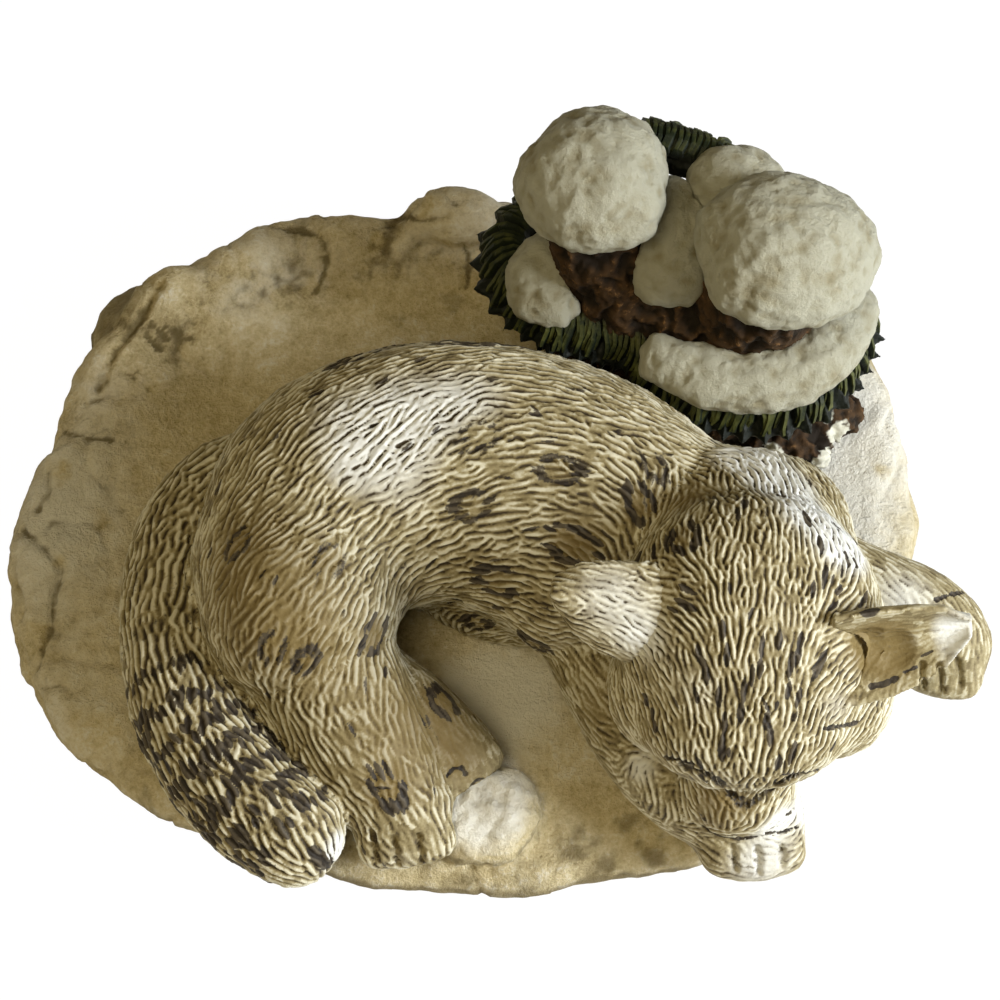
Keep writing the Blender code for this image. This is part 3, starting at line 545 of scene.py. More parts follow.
# Lines that the coat follows, from the root of the hair to its tip: x, y, z in mm
HAIR_LINES = (
    (
        (34, -4, 46), (22, 1, 48), (8, 6, 49), (-2, 6, 49), (-12, 1, 48), (-23, -9, 46), (-33, -19, 40),
        (-41, -29, 32),
    ),
    (
        (22, -14, 46), (10, -10, 46), (0, -10, 46), (-8, -14, 46), (-16, -21, 44), (-24, -30, 40),
        (-29, -39, 32),
    ),
    ((14, -22, 34), (4, -20, 34), (-4, -21, 34), (-10, -26, 30), (-15, -34, 24)),
    ((26, 6, 36), (9, 18, 34), (-10, 19, 34), (-22, 13, 36), (-34, 3, 36), (-43, -8, 32), (-47, -18, 28)),
    ((-28, -38, 30), (-21, -46, 26), (-15, -54, 18)),
    (
        (-38, 9, 23), (-46, 4, 30), (-51, -7, 30), (-51, -22, 29), (-46.5, -36, 29), (-38.5, -47, 28),
        (-29, -56, 22),
    ),
    ((-16, -27, 26), (-10, -35, 24), (-3, -44, 18)),
    ((14, -22, 24), (21, -38, 27), (29, -47, 24), (37, -55, 20)),
    ((42, -2, 34), (54, -8, 32), (64, -15, 28), (69, -22, 24), (68, -29, 18)),
    ((34.5, -58, 28), (34.5, -51, 38), (35, -42, 50), (36, -30, 58), (36, -16, 56), (34, -6, 48)),
    ((31, -57, 28), (26, -50, 36), (20, -42, 43), (17, -34, 46), (18, -22, 48), (24, -10, 48)),
    ((39, -57, 28), (46, -50, 36), (53, -43, 43), (56, -34, 45), (53, -20, 48), (46, -8, 44)),
    ((28, -56, 26), (20, -47, 30), (16, -38, 32)),
    ((42, -56, 26), (51, -49, 30), (57, -40, 32)),
    ((24, -33, 55), (16, -32, 56), (9, -30, 56)),
    ((49, -38, 55), (57, -37, 55), (65, -35, 54)),
)
HAIR_STEP = 3.0 * MM
HAIR_REACH = 4.0 * MM
HAIR_JITTER = 0.27
SKIN_SWELL = 0.28 * MM
SKIN_GRAIN = 0.75 * MM
EAR_SKIN_GRAIN = 0.45 * MM
SKIN_SOFTENING = 16
EAR_SOFTENING = 2
COAT_SOFTENING = 3
SNAP_REACH = 1.7 * MM
# Near a glue line, each casting reaches a little into the next, so that no line shows in the coat
GLUE_REACH = 1.2 * MM
GLUE_OVERLAP = 1.1 * MM
# Each casting stands a little over the one before it, so that two skins never lie in one place
LIFT_STEP = 0.02 * MM
# A mesh is thinned to this many triangles
MOST_TRIANGLES = 185000
# Paws are smooth at the toes: x, y, z in mm, then how far, how sharply and how much
PAWS = ((37.2, -52.0, 15.0), (68.8, -25.0, 15.5), (-14.2, -50.5, 14.5), (-5.6, -40.5, 14.5))
PAW_REACH = 6.5 * MM
PAW_EDGE = 6
PAW_SMOOTHNESS = 0.85
# Locks this far outside a piece's box still reach it, but they touch only points that face their way
CARVING_MARGIN = 2 * MM
FACES_ALIKE = 0.25
NEXT_TO_NOTHING = 1e-6
random_source = random.Random(RANDOM_START)


def hair_guides():
    """Places along the hair lines, and the way the hair runs there."""
    places, headings = [], []
    for line in HAIR_LINES:
        for start, finish in zip(line, line[1:]):
            start, finish = Vector(start) * MM, Vector(finish) * MM
            count = max(1, round((finish - start).length / HAIR_STEP))
            for k in range(count):
                places.append(start.lerp(finish, (k + 0.5) / count))
                headings.append((finish - start).normalized())
    return np.array(places), np.array(headings)


def cad_tree(nodes):
    """A search tree of the faces of some CAD nodes."""
    vertices, faces = [], []
    for node in nodes:
        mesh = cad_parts[node].data
        first = len(vertices)
        vertices += [v.co.copy() for v in mesh.vertices]
        faces += [[first + i for i in polygon.vertices] for polygon in mesh.polygons]
    return BVHTree.FromPolygons(vertices, faces)


def owners_of(places):
    """The CAD node that each place lies on."""
    trees = [cad_tree([node]) for node in CAT_PIECES]
    names = list(CAT_PIECES)
    return [names[int(np.argmin([tree.find_nearest(place)[3] for tree in trees]))] for place in places]


def hair_run(places, normals):
    """The way the hair runs at each place, along the skin."""
    guides, headings = hair_guides()
    away = ((places[:, None] - guides[None]) ** 2).sum(2) + HAIR_REACH**2
    run = (1 / away**2) @ headings
    run -= normals * (run * normals).sum(1, keepdims=True)
    return run / np.linalg.norm(run, axis=1, keepdims=True)


def scatter_places(skin, node, owned, areas, picker):
    """Places on one node's share of the skin where a lock grows, close across the hair and far along it."""
    length, width, _ = LOCKS[node]
    far, close = length * LOCK_SPACING[0] * MM, width * LOCK_SPACING[1] * MM
    total = areas[owned].sum()
    tries = int(LOCK_TRIES * total / (far * close))
    mesh = skin.data
    places, normals = [], []
    for face in picker.choice(owned, size=tries, p=areas[owned] / total):
        polygon = mesh.polygons[face]
        shares = picker.dirichlet(np.ones(len(polygon.vertices)))
        places.append(sum((mesh.vertices[v].co * s for v, s in zip(polygon.vertices, shares)), Vector()))
        normals.append(polygon.normal)
    places, normals = np.array(places), np.array(normals)
    runs = hair_run(places, normals)
    sides = np.cross(normals, runs)
    taken = {}
    kept = []
    for i, place in enumerate(places):
        cell = tuple((place // far).astype(int))
        near = [
            other
            for dx in (-1, 0, 1) for dy in (-1, 0, 1) for dz in (-1, 0, 1)
            for other in taken.get((cell[0] + dx, cell[1] + dy, cell[2] + dz), ())
        ]
        offsets = places[near] - place
        apart = (offsets @ runs[i] / far) ** 2 + (offsets @ sides[i] / close) ** 2
        if (apart + (offsets @ normals[i] / LOCK_CLEARANCE) ** 2 > 1).all():
            taken.setdefault(cell, []).append(i)
            kept.append(i)
    return places[kept], normals[kept], runs[kept]


class Locks:
    """Every lock of the coat: where it lies, which way it runs, its sizes and its shade."""

    def __init__(self, skin):
        picker = np.random.default_rng(RANDOM_START)
        faces = len(skin.data.polygons)
        areas, middles = np.empty(faces), np.empty(faces * 3)
        skin.data.polygons.foreach_get("area", areas)
        skin.data.polygons.foreach_get("center", middles)
        owners = np.array(owners_of(middles.reshape(-1, 3)))
        found = [scatter_places(skin, node, np.flatnonzero(owners == node), areas, picker) for node in LOCKS]
        self.place, self.normal, run = (np.concatenate(group) for group in zip(*found))
        self.owner = np.concatenate([[node] * len(group[0]) for node, group in zip(LOCKS, found)])
        count = len(self.place)
        sizes = np.array([LOCKS[node] for node in self.owner]) * MM
        self.half_length = sizes[:, 0] / 2 * picker.uniform(*LENGTH_RANGE, count)
        self.half_pitch = sizes[:, 1] / 2 * picker.uniform(*PITCH_RANGE, count)
        self.height = sizes[:, 2] * picker.uniform(*HEIGHT_RANGE, count)
        self.shade = picker.uniform(-1, 1, count)
        turn = picker.normal(0, HAIR_JITTER, count)[:, None]
        self.run = run * np.cos(turn) + np.cross(self.normal, run) * np.sin(turn)
        self.side = np.cross(self.normal, self.run)
        self.phase = picker.uniform(0, math.tau, count)
        self.comb(picker.permutation(count))

    def wave(self, i, offsets):
        """The share that lock i has at some offsets from it, and its ridges there as a turning wave."""
        along = (offsets * self.run[i]).sum(-1) / self.half_length[i]
        across = (offsets * self.side[i]).sum(-1) / self.half_pitch[i]
        share = np.exp(-(along**2) - (across / LOCK_SPREAD) ** 2)
        return share, share * np.exp(1j * (math.pi * across + self.phase[i]))

    def comb(self, order):
        """Sets each lock's phase so that its ridges run on from those beside it."""
        tree = point_tree(self.place)
        done = np.zeros(len(order), dtype=bool)
        for i in order:
            hits = tree.find_range(self.place[i], self.half_length[i] * LOCK_REACH)
            near = np.array([index for _, index, _ in hits if done[index]], dtype=int)
            done[i] = True
            if len(near):
                _, waves = self.wave(near, self.place[i] - self.place[near])
                if abs(waves.sum()) > FIRM_WAVE and self.shade[i] > COMBED:
                    self.phase[i] = np.angle(waves.sum())


# Dark strokes painted one by one on the brow, the cheeks and the back of the head: pixels of the picture
FACE_FLECKS = (
    (723, 630), (727, 655), (700, 655), (706, 672), (697, 694), (719, 697), (752, 675), (760, 668),
    (790, 665), (797, 655), (822, 655), (818, 668), (788, 690), (798, 697), (723, 740), (722, 750),
    (725, 722), (770, 735), (766, 720), (688, 590), (686, 605), (655, 552), (697, 537), (738, 515),
    (745, 505), (812, 590), (824, 578), (838, 590), (832, 606), (862, 600), (870, 612), (850, 540),
    (836, 528), (779, 640), (762, 646), (744, 690), (741, 712), (800, 640), (700, 762), (778, 762),
    (792, 752), (648, 700), (655, 720), (640, 560), (668, 545), (715, 500), (820, 545), (846, 560),
    (806, 520),
)
# Rings of dark dashes along the tail: share of its length, half width in share, darkness
TAIL_LENGTH_LINE = ((-38, 9), (-45, 4), (-50, -7), (-50, -22), (-46, -36), (-38.5, -47), (-27, -57))
TAIL_RINGS = (
    (0.30, 0.009, 0.22), (0.39, 0.009, 0.25), (0.475, 0.010, 0.32), (0.56, 0.013, 0.65), (0.63, 0.015, 0.95),
    (0.695, 0.018, 1.0), (0.76, 0.019, 1.0), (0.825, 0.019, 1.0), (0.885, 0.017, 1.0), (0.94, 0.012, 1.0),
)
# Strokes of the brush: half lengths from and to in mm, half width, and darkness from and to
TAIL_DASH = (1.2, 2.1)
TAIL_DASH_WIDTH = 0.68 * MM
TAIL_DARKNESS = (0.6, 1)
TAIL_WOBBLE = 0.005
TAIL_SKIPPED = 0.12
FLECK_DASH = (1.3, 2.7)
FLECK_WIDTH = (0.45, 0.75)
FLECK_DARKNESS = (0.7, 1)
# Thin dark strokes all over the back, the head and the near hind leg: how many on each
STRAY_STROKES = {"torso": 150, "head": 60, "right_hind_leg": 25}
STRAY_DASH = (0.9, 2.0)
STRAY_WIDTH = 0.36 * MM
STRAY_DARKNESS = (0.35, 0.95)
# How sharp the edges of strokes and of cut lines are
DASH_EDGE = 2.2
CUT_EDGE = 1.6


def share_along(line, points):
    """How far along a line on the ground each point lies, from 0 to 1."""
    line = np.array(line) * MM
    lengths = np.linalg.norm(np.diff(line, axis=0), axis=1)
    starts = np.concatenate(([0], np.cumsum(lengths)))
    best = np.full(len(points), np.inf)
    share = np.zeros(len(points))
    for start, finish, length, before in zip(line, line[1:], lengths, starts):
        along = np.clip(((points[:, :2] - start) @ (finish - start)) / length**2, 0, 1)
        away = np.linalg.norm(points[:, :2] - start - along[:, None] * (finish - start), axis=1)
        closer = away < best
        best[closer] = away[closer]
        share[closer] = (before + along[closer] * length) / starts[-1]
    return share


# Rosettes: pixel of the middle, length and width in mm, turn from the hair's run in degrees, darkness
ROSETTES = (
    (373, 635, 6.2, 5.0, 10, 1.0), (476, 621, 5.0, 4.0, 0, 0.9), (534, 642, 4.6, 3.2, 0, 1.0),
    (497, 580, 6.4, 5.2, 0, 0.8), (572, 545, 8.2, 5.0, 0, 1.0), (640, 503, 6.0, 3.8, 0, 0.9),
    (685, 538, 5.2, 4.2, 0, 0.9), (388, 788, 6.6, 4.6, 0, 0.9), (443, 702, 5.0, 3.8, 0, 0.7),
    (272, 648, 5.0, 3.6, 0, 0.5), (306, 660, 4.6, 3.4, 0, 0.5), (238, 545, 5.0, 3.6, 0, 0.5),
    (330, 560, 5.4, 4.0, 0, 0.4), (470, 505, 5.6, 4.2, 0, 0.6), (480, 437, 6.0, 4.4, 0, 0.45),
    (560, 470, 6.0, 4.0, 0, 0.5), (655, 468, 5.0, 3.4, 0, 0.5),
)
# Rosettes on the side that the picture doesn't show: how many, on which pieces, and how they vary
HIDDEN_ROSETTES = 26
HIDDEN_PIECES = ("torso", "right_hind_leg", "left_foreleg")
HIDDEN_FACING = -0.25
HIDDEN_LOWEST = 18 * MM
HIDDEN_LENGTH = (4.4, 6.4)
HIDDEN_WIDTH = (3.2, 4.4)
HIDDEN_DARKNESS = 0.7
ROSETTE_STROKES = 20
ROSETTE_SKIPPED = 0.10
ROSETTE_ENDS_SKIPPED = 0.45
ROSETTE_END = 0.8
ROSETTE_SWAY = 0.3
ROSETTE_ROUND = (0.85, 1.1)
ROSETTE_DASH = (1.2, 2.3)
ROSETTE_WIDTH = 0.52 * MM
ROSETTE_WIDTH_RANGE = (0.7, 1.2)
ROSETTE_BROWN = 0.75
ROSETTE_FALL = 1.2
ROSETTE_EDGE = 4
# Lines cut into the face, between the toes and in a few other places, as pixels of the picture, then half
# width and depth in mm, and darkness
CUT_LINES = (
    # The darkness along the brow's edge is the painted shadow of the brow on the muzzle
    (
        ((684, 766), (700, 770), (716, 778), (734, 796), (747, 806), (760, 796), (780, 780), (804, 774)),
        1.2, 0.6, 0.4,
    ),
    (((668, 757), (680, 759), (692, 763)), 0.55, 0.45, 1.0),
    (((781, 774), (797, 773), (812, 770), (828, 764)), 0.6, 0.5, 1.0),
    (((823, 728), (838, 726), (856, 722)), 0.5, 0.3, 0.9),
    (((704, 826), (718, 834), (738, 838), (757, 836)), 0.5, 0.5, 0.75),
    (((766, 832), (782, 832), (798, 826)), 0.45, 0.4, 0.6),
    (((733, 846), (734, 858), (736, 870)), 0.9, 0.9, 0.12),
    (((757, 848), (759, 860), (759, 874)), 0.9, 0.9, 0.12),
    (((781, 846), (783, 856), (782, 866)), 0.9, 0.9, 0.12),
    (((922, 664), (922, 676), (924, 688)), 0.8, 0.8, 0.15),
    (((939, 666), (941, 680), (942, 692)), 0.8, 0.8, 0.15),
    (((957, 660), (960, 672), (960, 684)), 0.8, 0.8, 0.15),
    (((372, 832), (374, 848), (376, 862)), 0.9, 0.9, 0.12),
    (((394, 838), (396, 852), (398, 866)), 0.9, 0.9, 0.12),
    (((418, 836), (420, 850), (422, 862)), 0.9, 0.9, 0.12),
    (((447, 776), (453, 769), (462, 768), (466, 774)), 0.5, 0.35, 0.9),
    (((470, 788), (475, 781), (483, 779)), 0.5, 0.35, 0.8),
    (((856, 527), (874, 526)), 0.55, 0.2, 1.0),
    (((312, 850), (322, 862), (334, 866)), 1.3, 0.1, 1.0),
    (((936, 600), (950, 595), (966, 592)), 0.55, 0.2, 1.0),
    # A wide soft stroke that hollows the left ear; its darkness is painted shade
    (((866, 636), (880, 648), (898, 646)), 3.2, 0.9, 0.12),
    (((872, 686), (884, 684), (897, 678)), 0.6, 0.1, 0.9),
    (((905, 672), (916, 667)), 0.4, 0.1, 0.8),
    (((922, 656), (932, 651)), 0.35, 0.1, 0.6),
)
# Washes on the coat, partly dry brushing and brown wash and partly painted light and shade: pixel, reach in
# mm, then how white (above 0) or brown (below 0). The white on the top of the back is partly painted
# highlight; the brown on the flank, on the muzzle under the brow and in the left ear's hollow is painted
# shade.
COAT_WASHES_AND_PAINTED_LIGHT = (
    (395, 425, 11, 0.9), (345, 470, 6, 0.45), (470, 400, 8, 0.5), (748, 457, 6, 1.5), (780, 487, 6, 1.5),
    (814, 517, 6, 1.5), (842, 545, 6, 1.3), (880, 540, 6, 0.6), (905, 600, 8, 0.5), (612, 598, 8, 0.5),
    (645, 640, 5, 0.6), (800, 800, 5, 1.0), (775, 820, 4, 0.8), (640, 765, 4, 0.7), (760, 862, 7, 0.7),
    (960, 640, 8, 0.6), (335, 850, 4, 1.4), (400, 855, 6, 0.4), (840, 700, 6, 0.4), (700, 690, 6, 0.3),
    (560, 500, 9, -0.3), (480, 470, 7, -0.3), (690, 500, 7, -0.9), (250, 560, 16, -0.85),
    (300, 650, 14, -0.8), (400, 690, 10, -0.4), (440, 720, 8, -0.8), (470, 760, 6, -0.7),
    (600, 700, 10, -0.6), (650, 745, 6, -0.5), (715, 792, 5, -0.9), (745, 800, 5, -0.6),
    (882, 645, 6.5, -2.3), (945, 628, 4.0, 0.4), (600, 540, 6, -0.4), (165, 560, 14, 0.1),
    (400, 500, 9, 0.2), (330, 420, 8, 0.25), (395, 770, 14, -0.75), (540, 620, 9, -0.15),
    (720, 825, 5, -0.6),
)
# Groove to light: brown wash and dry brushing, partly painted shade in the grooves and painted light on
# crests
COAT_GROOVE = (0.040, 0.027, 0.012, 1)
COAT_TAN = (0.165, 0.127, 0.058, 1)
COAT_CREAM = (0.315, 0.262, 0.140, 1)
COAT_LIGHT = (0.62, 0.58, 0.445, 1)
COAT_WHITE = (0.71, 0.71, 0.68, 1)
COAT_BROWN = (0.175, 0.122, 0.040, 1)
COAT_BLACK = (0.020, 0.014, 0.009, 1)
COAT_GREY = (0.085, 0.068, 0.045, 1)
COAT_TONES = ((0.22, COAT_GROOVE), (0.46, COAT_TAN), (0.72, COAT_CREAM), (0.98, COAT_LIGHT))
# How much each grain and a lock's own shade count in the tone of the paint, and in a stroke's edge
COAT_BRUSH = 0.35
COAT_MOTTLE = 0.35
COAT_SHADE = 0.19
STROKE_RAGGED = 0.9
# Where one paint fades into another: from, to, then how much there is at each end
RIDGE_FADE = (0.2, 0.6)
WHITE_FADE = (0.1, 0.9)
BROWN_FADE = (-0.1, -1.3, 0.0, 0.85)
INK_FADE = (0.45, 0.95)
STROKE_FADE = (0.15, 0.50)
STROKE_EDGE = (0.02, 0.2)


def coat_finish():
    finish = Finish("painted_coat", roughness=0.62, specular=0.3)
    relief = finish.attribute("relief")
    shade = finish.attribute("shade")
    spot = finish.attribute("spot")
    wash_and_painted_light = finish.attribute("wash_and_painted_light")
    mottle = finish.grain(5.0, detail=4.0)
    brush = finish.grain(0.55, detail=3.0)
    level = finish.plus(relief, finish.swing(brush, COAT_BRUSH))
    level = finish.plus(level, finish.times(shade, COAT_SHADE))
    level = finish.plus(level, finish.swing(mottle, COAT_MOTTLE))
    colour = finish.ramp(level, COAT_TONES)
    white = finish.times(finish.between(wash_and_painted_light, *WHITE_FADE), finish.between(level, *RIDGE_FADE))
    colour = finish.mix(white, colour, COAT_WHITE)
    colour = finish.mix(finish.between(wash_and_painted_light, *BROWN_FADE), colour, COAT_BROWN)
    # Strokes are greyer on the crests, partly as painted highlight
    ink = finish.mix(finish.between(level, *INK_FADE), COAT_BLACK, COAT_GREY)
    ragged = finish.plus(spot, finish.swing(brush, STROKE_RAGGED))
    stroke = finish.times(finish.between(ragged, *STROKE_FADE), finish.between(spot, *STROKE_EDGE))
    finish.paint(finish.mix(stroke, colour, ink))
    finish.emboss(brush, depth_mm=0.10)
    return finish.material


def carve_coat(piece, locks, lift):
    """Carves the ridges of fur on a piece; gives its smooth points, their tree, relief and shade."""
    points, normals = points_of(piece)
    tree = point_tree(points)
    waves = np.zeros(len(points), dtype=complex)
    total = np.full(len(points), NEXT_TO_NOTHING)
    height = np.zeros(len(points))
    strongest = np.zeros(len(points))
    shade = np.zeros(len(points))
    low, high = points.min(0) - CARVING_MARGIN, points.max(0) + CARVING_MARGIN
    for i in np.flatnonzero(((locks.place > low) & (locks.place < high)).all(1)):
        hits = tree.find_range(locks.place[i], locks.half_length[i] * LOCK_REACH)
        index = np.array([hit[1] for hit in hits], dtype=int)
        index = index[normals[index] @ locks.normal[i] > FACES_ALIKE]
        share, wave = locks.wave(i, points[index] - locks.place[i])
        waves[index] += wave
        total[index] += share
        height[index] += share * locks.height[i]
        wins = share > strongest[index]
        strongest[index[wins]] = share[wins]
        shade[index[wins]] = locks.shade[i]
    strands = cloudy(points, STRAND_SIZE, octaves=2)
    height *= np.clip(STRAND_LEVEL + STRAND_SWAY * strands, *STRAND_RANGE) / total
    for paw in PAWS:
        away = shares_away(points, np.array(paw) * MM, PAW_REACH)
        height *= 1 - PAW_SMOOTHNESS * np.exp(-(away**PAW_EDGE))
    firm = np.clip(np.abs(waves) / total * RIDGE_FIRMNESS, 0, 1)
    ridge = np.sqrt(0.5 + 0.5 * np.cos(np.angle(waves)) * firm)
    contrast = np.clip(height / FULL_CONTRAST, LEAST_CONTRAST, 1)
    move_points(piece, points + normals * (height * (ridge - RIDGE_LEVEL) + lift)[:, None])
    return points, tree, CREST_TONE + (ridge - CREST_TONE) * contrast, shade


def thin_out(piece):
    """Thins a mesh that has too many triangles, most of all where it is flat."""
    triangles = sum(len(polygon.vertices) - 2 for polygon in piece.data.polygons)
    if triangles > MOST_TRIANGLES:
        activate(piece)
        thin = piece.modifiers.new("thin_out", "DECIMATE")
        thin.ratio = MOST_TRIANGLES / triangles
        bpy.ops.object.modifier_apply(modifier=thin.name)


ears = [node for node in CAT_PIECES if node.endswith("ear")]
body = [node for node in CAT_PIECES if node not in ears]
ear_skin = fine_copy("ear_guide", ears, EAR_SKIN_GRAIN, EAR_SOFTENING)
skin = fine_copy("coat_guide", body, SKIN_GRAIN, SKIN_SOFTENING, SKIN_SWELL)
ear_skin.select_set(True)
bpy.ops.object.join()
skin_surface = surface_tree(skin)
locks = Locks(skin)

dashes = []


def add_dash(place, run, half_length, half_width, darkness):
    """A short stroke of the brush along the hair."""
    dashes.append((np.array(place), np.array(run), half_length, half_width, darkness))


def run_at(place, normal):
    """The way the hair runs at one place of the skin."""
    return Vector(hair_run(np.array([place]), np.array([normal]))[0])


on_tail = np.flatnonzero(locks.owner == "tail")
for i, share in zip(on_tail, share_along(TAIL_LENGTH_LINE, locks.place[on_tail])):
    for middle, half_width, darkness in TAIL_RINGS:
        wobble = random_source.uniform(-TAIL_WOBBLE, TAIL_WOBBLE)
        if abs(share + wobble - middle) < half_width and random_source.random() > TAIL_SKIPPED:
            half_length = random_source.uniform(*TAIL_DASH) * MM
            shade = darkness * random_source.uniform(*TAIL_DARKNESS)
            add_dash(locks.place[i], locks.run[i], half_length, TAIL_DASH_WIDTH, shade)
for place, normal in seen_rows(skin_surface, FACE_FLECKS):
    half_length = random_source.uniform(*FLECK_DASH) * MM
    half_width = random_source.uniform(*FLECK_WIDTH) * MM
    darkness = random_source.uniform(*FLECK_DARKNESS)
    add_dash(place, run_at(place, normal), half_length, half_width, darkness)
for node, count in STRAY_STROKES.items():
    for i in random_source.sample(list(np.flatnonzero(locks.owner == node)), count):
        half_length = random_source.uniform(*STRAY_DASH) * MM
        darkness = random_source.uniform(*STRAY_DARKNESS)
        add_dash(locks.place[i], locks.run[i], half_length, STRAY_WIDTH, darkness)

rosettes = []


def add_rosette(place, normal, length, width, turn, darkness):
    """A broken ring of brush strokes round a place on the coat, all along the hair."""
    run = run_at(place, normal)
    ahead = run.copy()
    ahead.rotate(Matrix.Rotation(math.radians(turn), 3, normal))
    side = normal.cross(ahead)
    for k in range(ROSETTE_STROKES):
        angle = math.tau * (k + random_source.uniform(-ROSETTE_SWAY, ROSETTE_SWAY)) / ROSETTE_STROKES
        at_end = abs(math.cos(angle)) > ROSETTE_END
        if random_source.random() < (ROSETTE_ENDS_SKIPPED if at_end else ROSETTE_SKIPPED):
            continue
        half = random_source.uniform(*ROSETTE_ROUND) * MM / 2
        target = place + (ahead * math.cos(angle) * length + side * math.sin(angle) * width) * half
        half_length = random_source.uniform(*ROSETTE_DASH) * MM
        half_width = ROSETTE_WIDTH * random_source.uniform(*ROSETTE_WIDTH_RANGE)
        add_dash(skin_surface.find_nearest(target)[0], run, half_length, half_width, darkness)
    rosettes.append((place, length * MM / 2, darkness))


for place, normal, *ring in seen_rows(skin_surface, ROSETTES):
    add_rosette(place, normal, *ring)
turned_away = (locks.normal @ np.array(look) > HIDDEN_FACING) & (locks.place[:, 2] > HIDDEN_LOWEST)
hidden = list(np.flatnonzero(turned_away & np.isin(locks.owner, HIDDEN_PIECES)))
for i in random_source.sample(hidden, min(HIDDEN_ROSETTES, len(hidden))):
    length, width = random_source.uniform(*HIDDEN_LENGTH), random_source.uniform(*HIDDEN_WIDTH)
    add_rosette(Vector(locks.place[i]), Vector(locks.normal[i]), length, width, 0, HIDDEN_DARKNESS)
coat_washes_and_painted_light = [(*(place / MM), *wash_and_painted_light) for place, _, *wash_and_painted_light in seen_rows(skin_surface, COAT_WASHES_AND_PAINTED_LIGHT)]
cut_lines = [(seen_line(skin_surface, pixels), *rest) for pixels, *rest in CUT_LINES]


def lay_on_skin(piece, node):
    """Moves a casting's points to the skin, and a little into the castings that it is glued to."""
    points, normals = points_of(piece)
    others = cad_tree([other for other in body if other != node])
    for i, point in enumerate(points):
        if others.find_nearest(point, GLUE_REACH)[0] is not None:
            points[i] = point + normals[i] * GLUE_OVERLAP
        nearest, _, _, _ = skin_surface.find_nearest(points[i], SNAP_REACH)
        if nearest is not None:
            points[i] = nearest
    move_points(piece, points)


def strokes_at(points, tree):
    """How dark the strokes of the brush make each point."""
    spot = np.zeros(len(points))
    for place, run, half_length, half_width, darkness in dashes:
        index = np.array([hit[1] for hit in tree.find_range(place, half_length)], dtype=int)
        offsets = points[index] - place
        along = offsets @ run
        across = np.linalg.norm(offsets - along[:, None] * run, axis=1)
        inside = 1 - (along / half_length) ** 2 - np.abs(across / half_width)
        spot[index] = np.maximum(spot[index], np.clip(inside * DASH_EDGE, 0, 1) * darkness)
    return spot


coat = coat_finish()
for order, (node, grain) in enumerate(CAT_PIECES.items()):
    piece = fine_copy("carved_" + node, [node], grain * MM, COAT_SOFTENING)
    if node in body:
        lay_on_skin(piece, node)
    points, tree, relief, shade = carve_coat(piece, locks, lift=LIFT_STEP * order)
    spot = strokes_at(points, tree)
    # Washes of paint on the coat, with painted highlight and shade among them
    wash_and_painted_light = washes_and_painted_light_at(points, coat_washes_and_painted_light)
    for middle, reach, darkness in rosettes:
        away = shares_away(points, middle, reach)
        wash_and_painted_light -= ROSETTE_BROWN * darkness * np.exp(-ROSETTE_FALL * away**ROSETTE_EDGE)
    cut = np.zeros(len(points))
    for line, half_width, depth, darkness in cut_lines:
        touched = brush_along(tree, len(points), line, half_width * MM)
        cut = np.maximum(cut, touched * depth * MM)
        spot = np.maximum(spot, np.clip(touched * CUT_EDGE, 0, 1) * darkness)
    carved, normals = points_of(piece)
    move_points(piece, carved - normals * cut[:, None])
    for name, values in (("relief", relief), ("shade", shade), ("spot", spot), ("wash_and_painted_light", wash_and_painted_light)):
        store(piece, name, values)
    thin_out(piece)
    dress(piece, coat)
    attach(piece, "root")
    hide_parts(node)
bpy.data.objects.remove(skin)

# Fir stump
# A resin casting of a broken fir trunk with two stems and two roots, carved with cracked bark and painted
# near-black brown with flecks of orange brown on the ridges and a little snow on the roots. It is glued into
# the base behind the sleeper.
STUMP_GRAIN = 0.42 * MM
STUMP_SOFTENING = 8
BARK_LUMP = 3.6 * MM
BARK_DEPTH = 1.1 * MM
BARK_LEVEL = 0.5
BARK_STRETCH = 1.7
BARK_SPECK = 1.3 * MM
BARK_SPECK_DEPTH = 0.2 * MM
# What the carving adds to the relief that the paint follows
BARK_RELIEF = 0.2
RIDGE_RELIEF = 0.5
SPECK_RELIEF = 0.3
BARK_DARK = (0.014, 0.009, 0.005, 1)
BARK_BROWN = (0.060, 0.032, 0.013, 1)
BARK_RUST = (0.23, 0.120, 0.045, 1)
BARK_SNOW = (0.60, 0.585, 0.49, 1)
BARK_TONES = ((0.25, BARK_DARK), (0.7, BARK_BROWN))
# Where one paint fades into another: from, to
RUST_SPECK_FADE = (0.52, 0.64)
RUST_RIDGE_FADE = (0.45, 0.75)
RUST_PATCH_FADE = (0.4, 0.6)
ROOT_SNOW_FADE = (0.25, 0.5)
# Snow that lies on the roots: pixel and reach in mm
ROOT_SNOW = ((838, 434, 2.4), (858, 434, 3.2), (827, 418, 1.4), (826, 462, 3.0), (772, 452, 2.0))
ROOT_SNOW_CORE = 1.2
ROOT_SNOW_SWAY = 0.5


def bark_finish():
    finish = Finish("fir_bark", roughness=0.8, specular=0.2)
    relief = finish.attribute("relief")
    specks = finish.grain(0.9, detail=4.0, roughness=0.7)
    patches = finish.grain(4.0, detail=3.0)
    colour = finish.ramp(relief, BARK_TONES)
    rust = finish.times(finish.between(specks, *RUST_SPECK_FADE), finish.between(relief, *RUST_RIDGE_FADE))
    rust = finish.times(rust, finish.between(patches, *RUST_PATCH_FADE))
    colour = finish.mix(rust, colour, BARK_RUST)
    colour = finish.mix(finish.between(finish.attribute("snow"), *ROOT_SNOW_FADE), colour, BARK_SNOW)
    finish.paint(colour)
    finish.emboss(specks, depth_mm=0.25)
    return finish.material


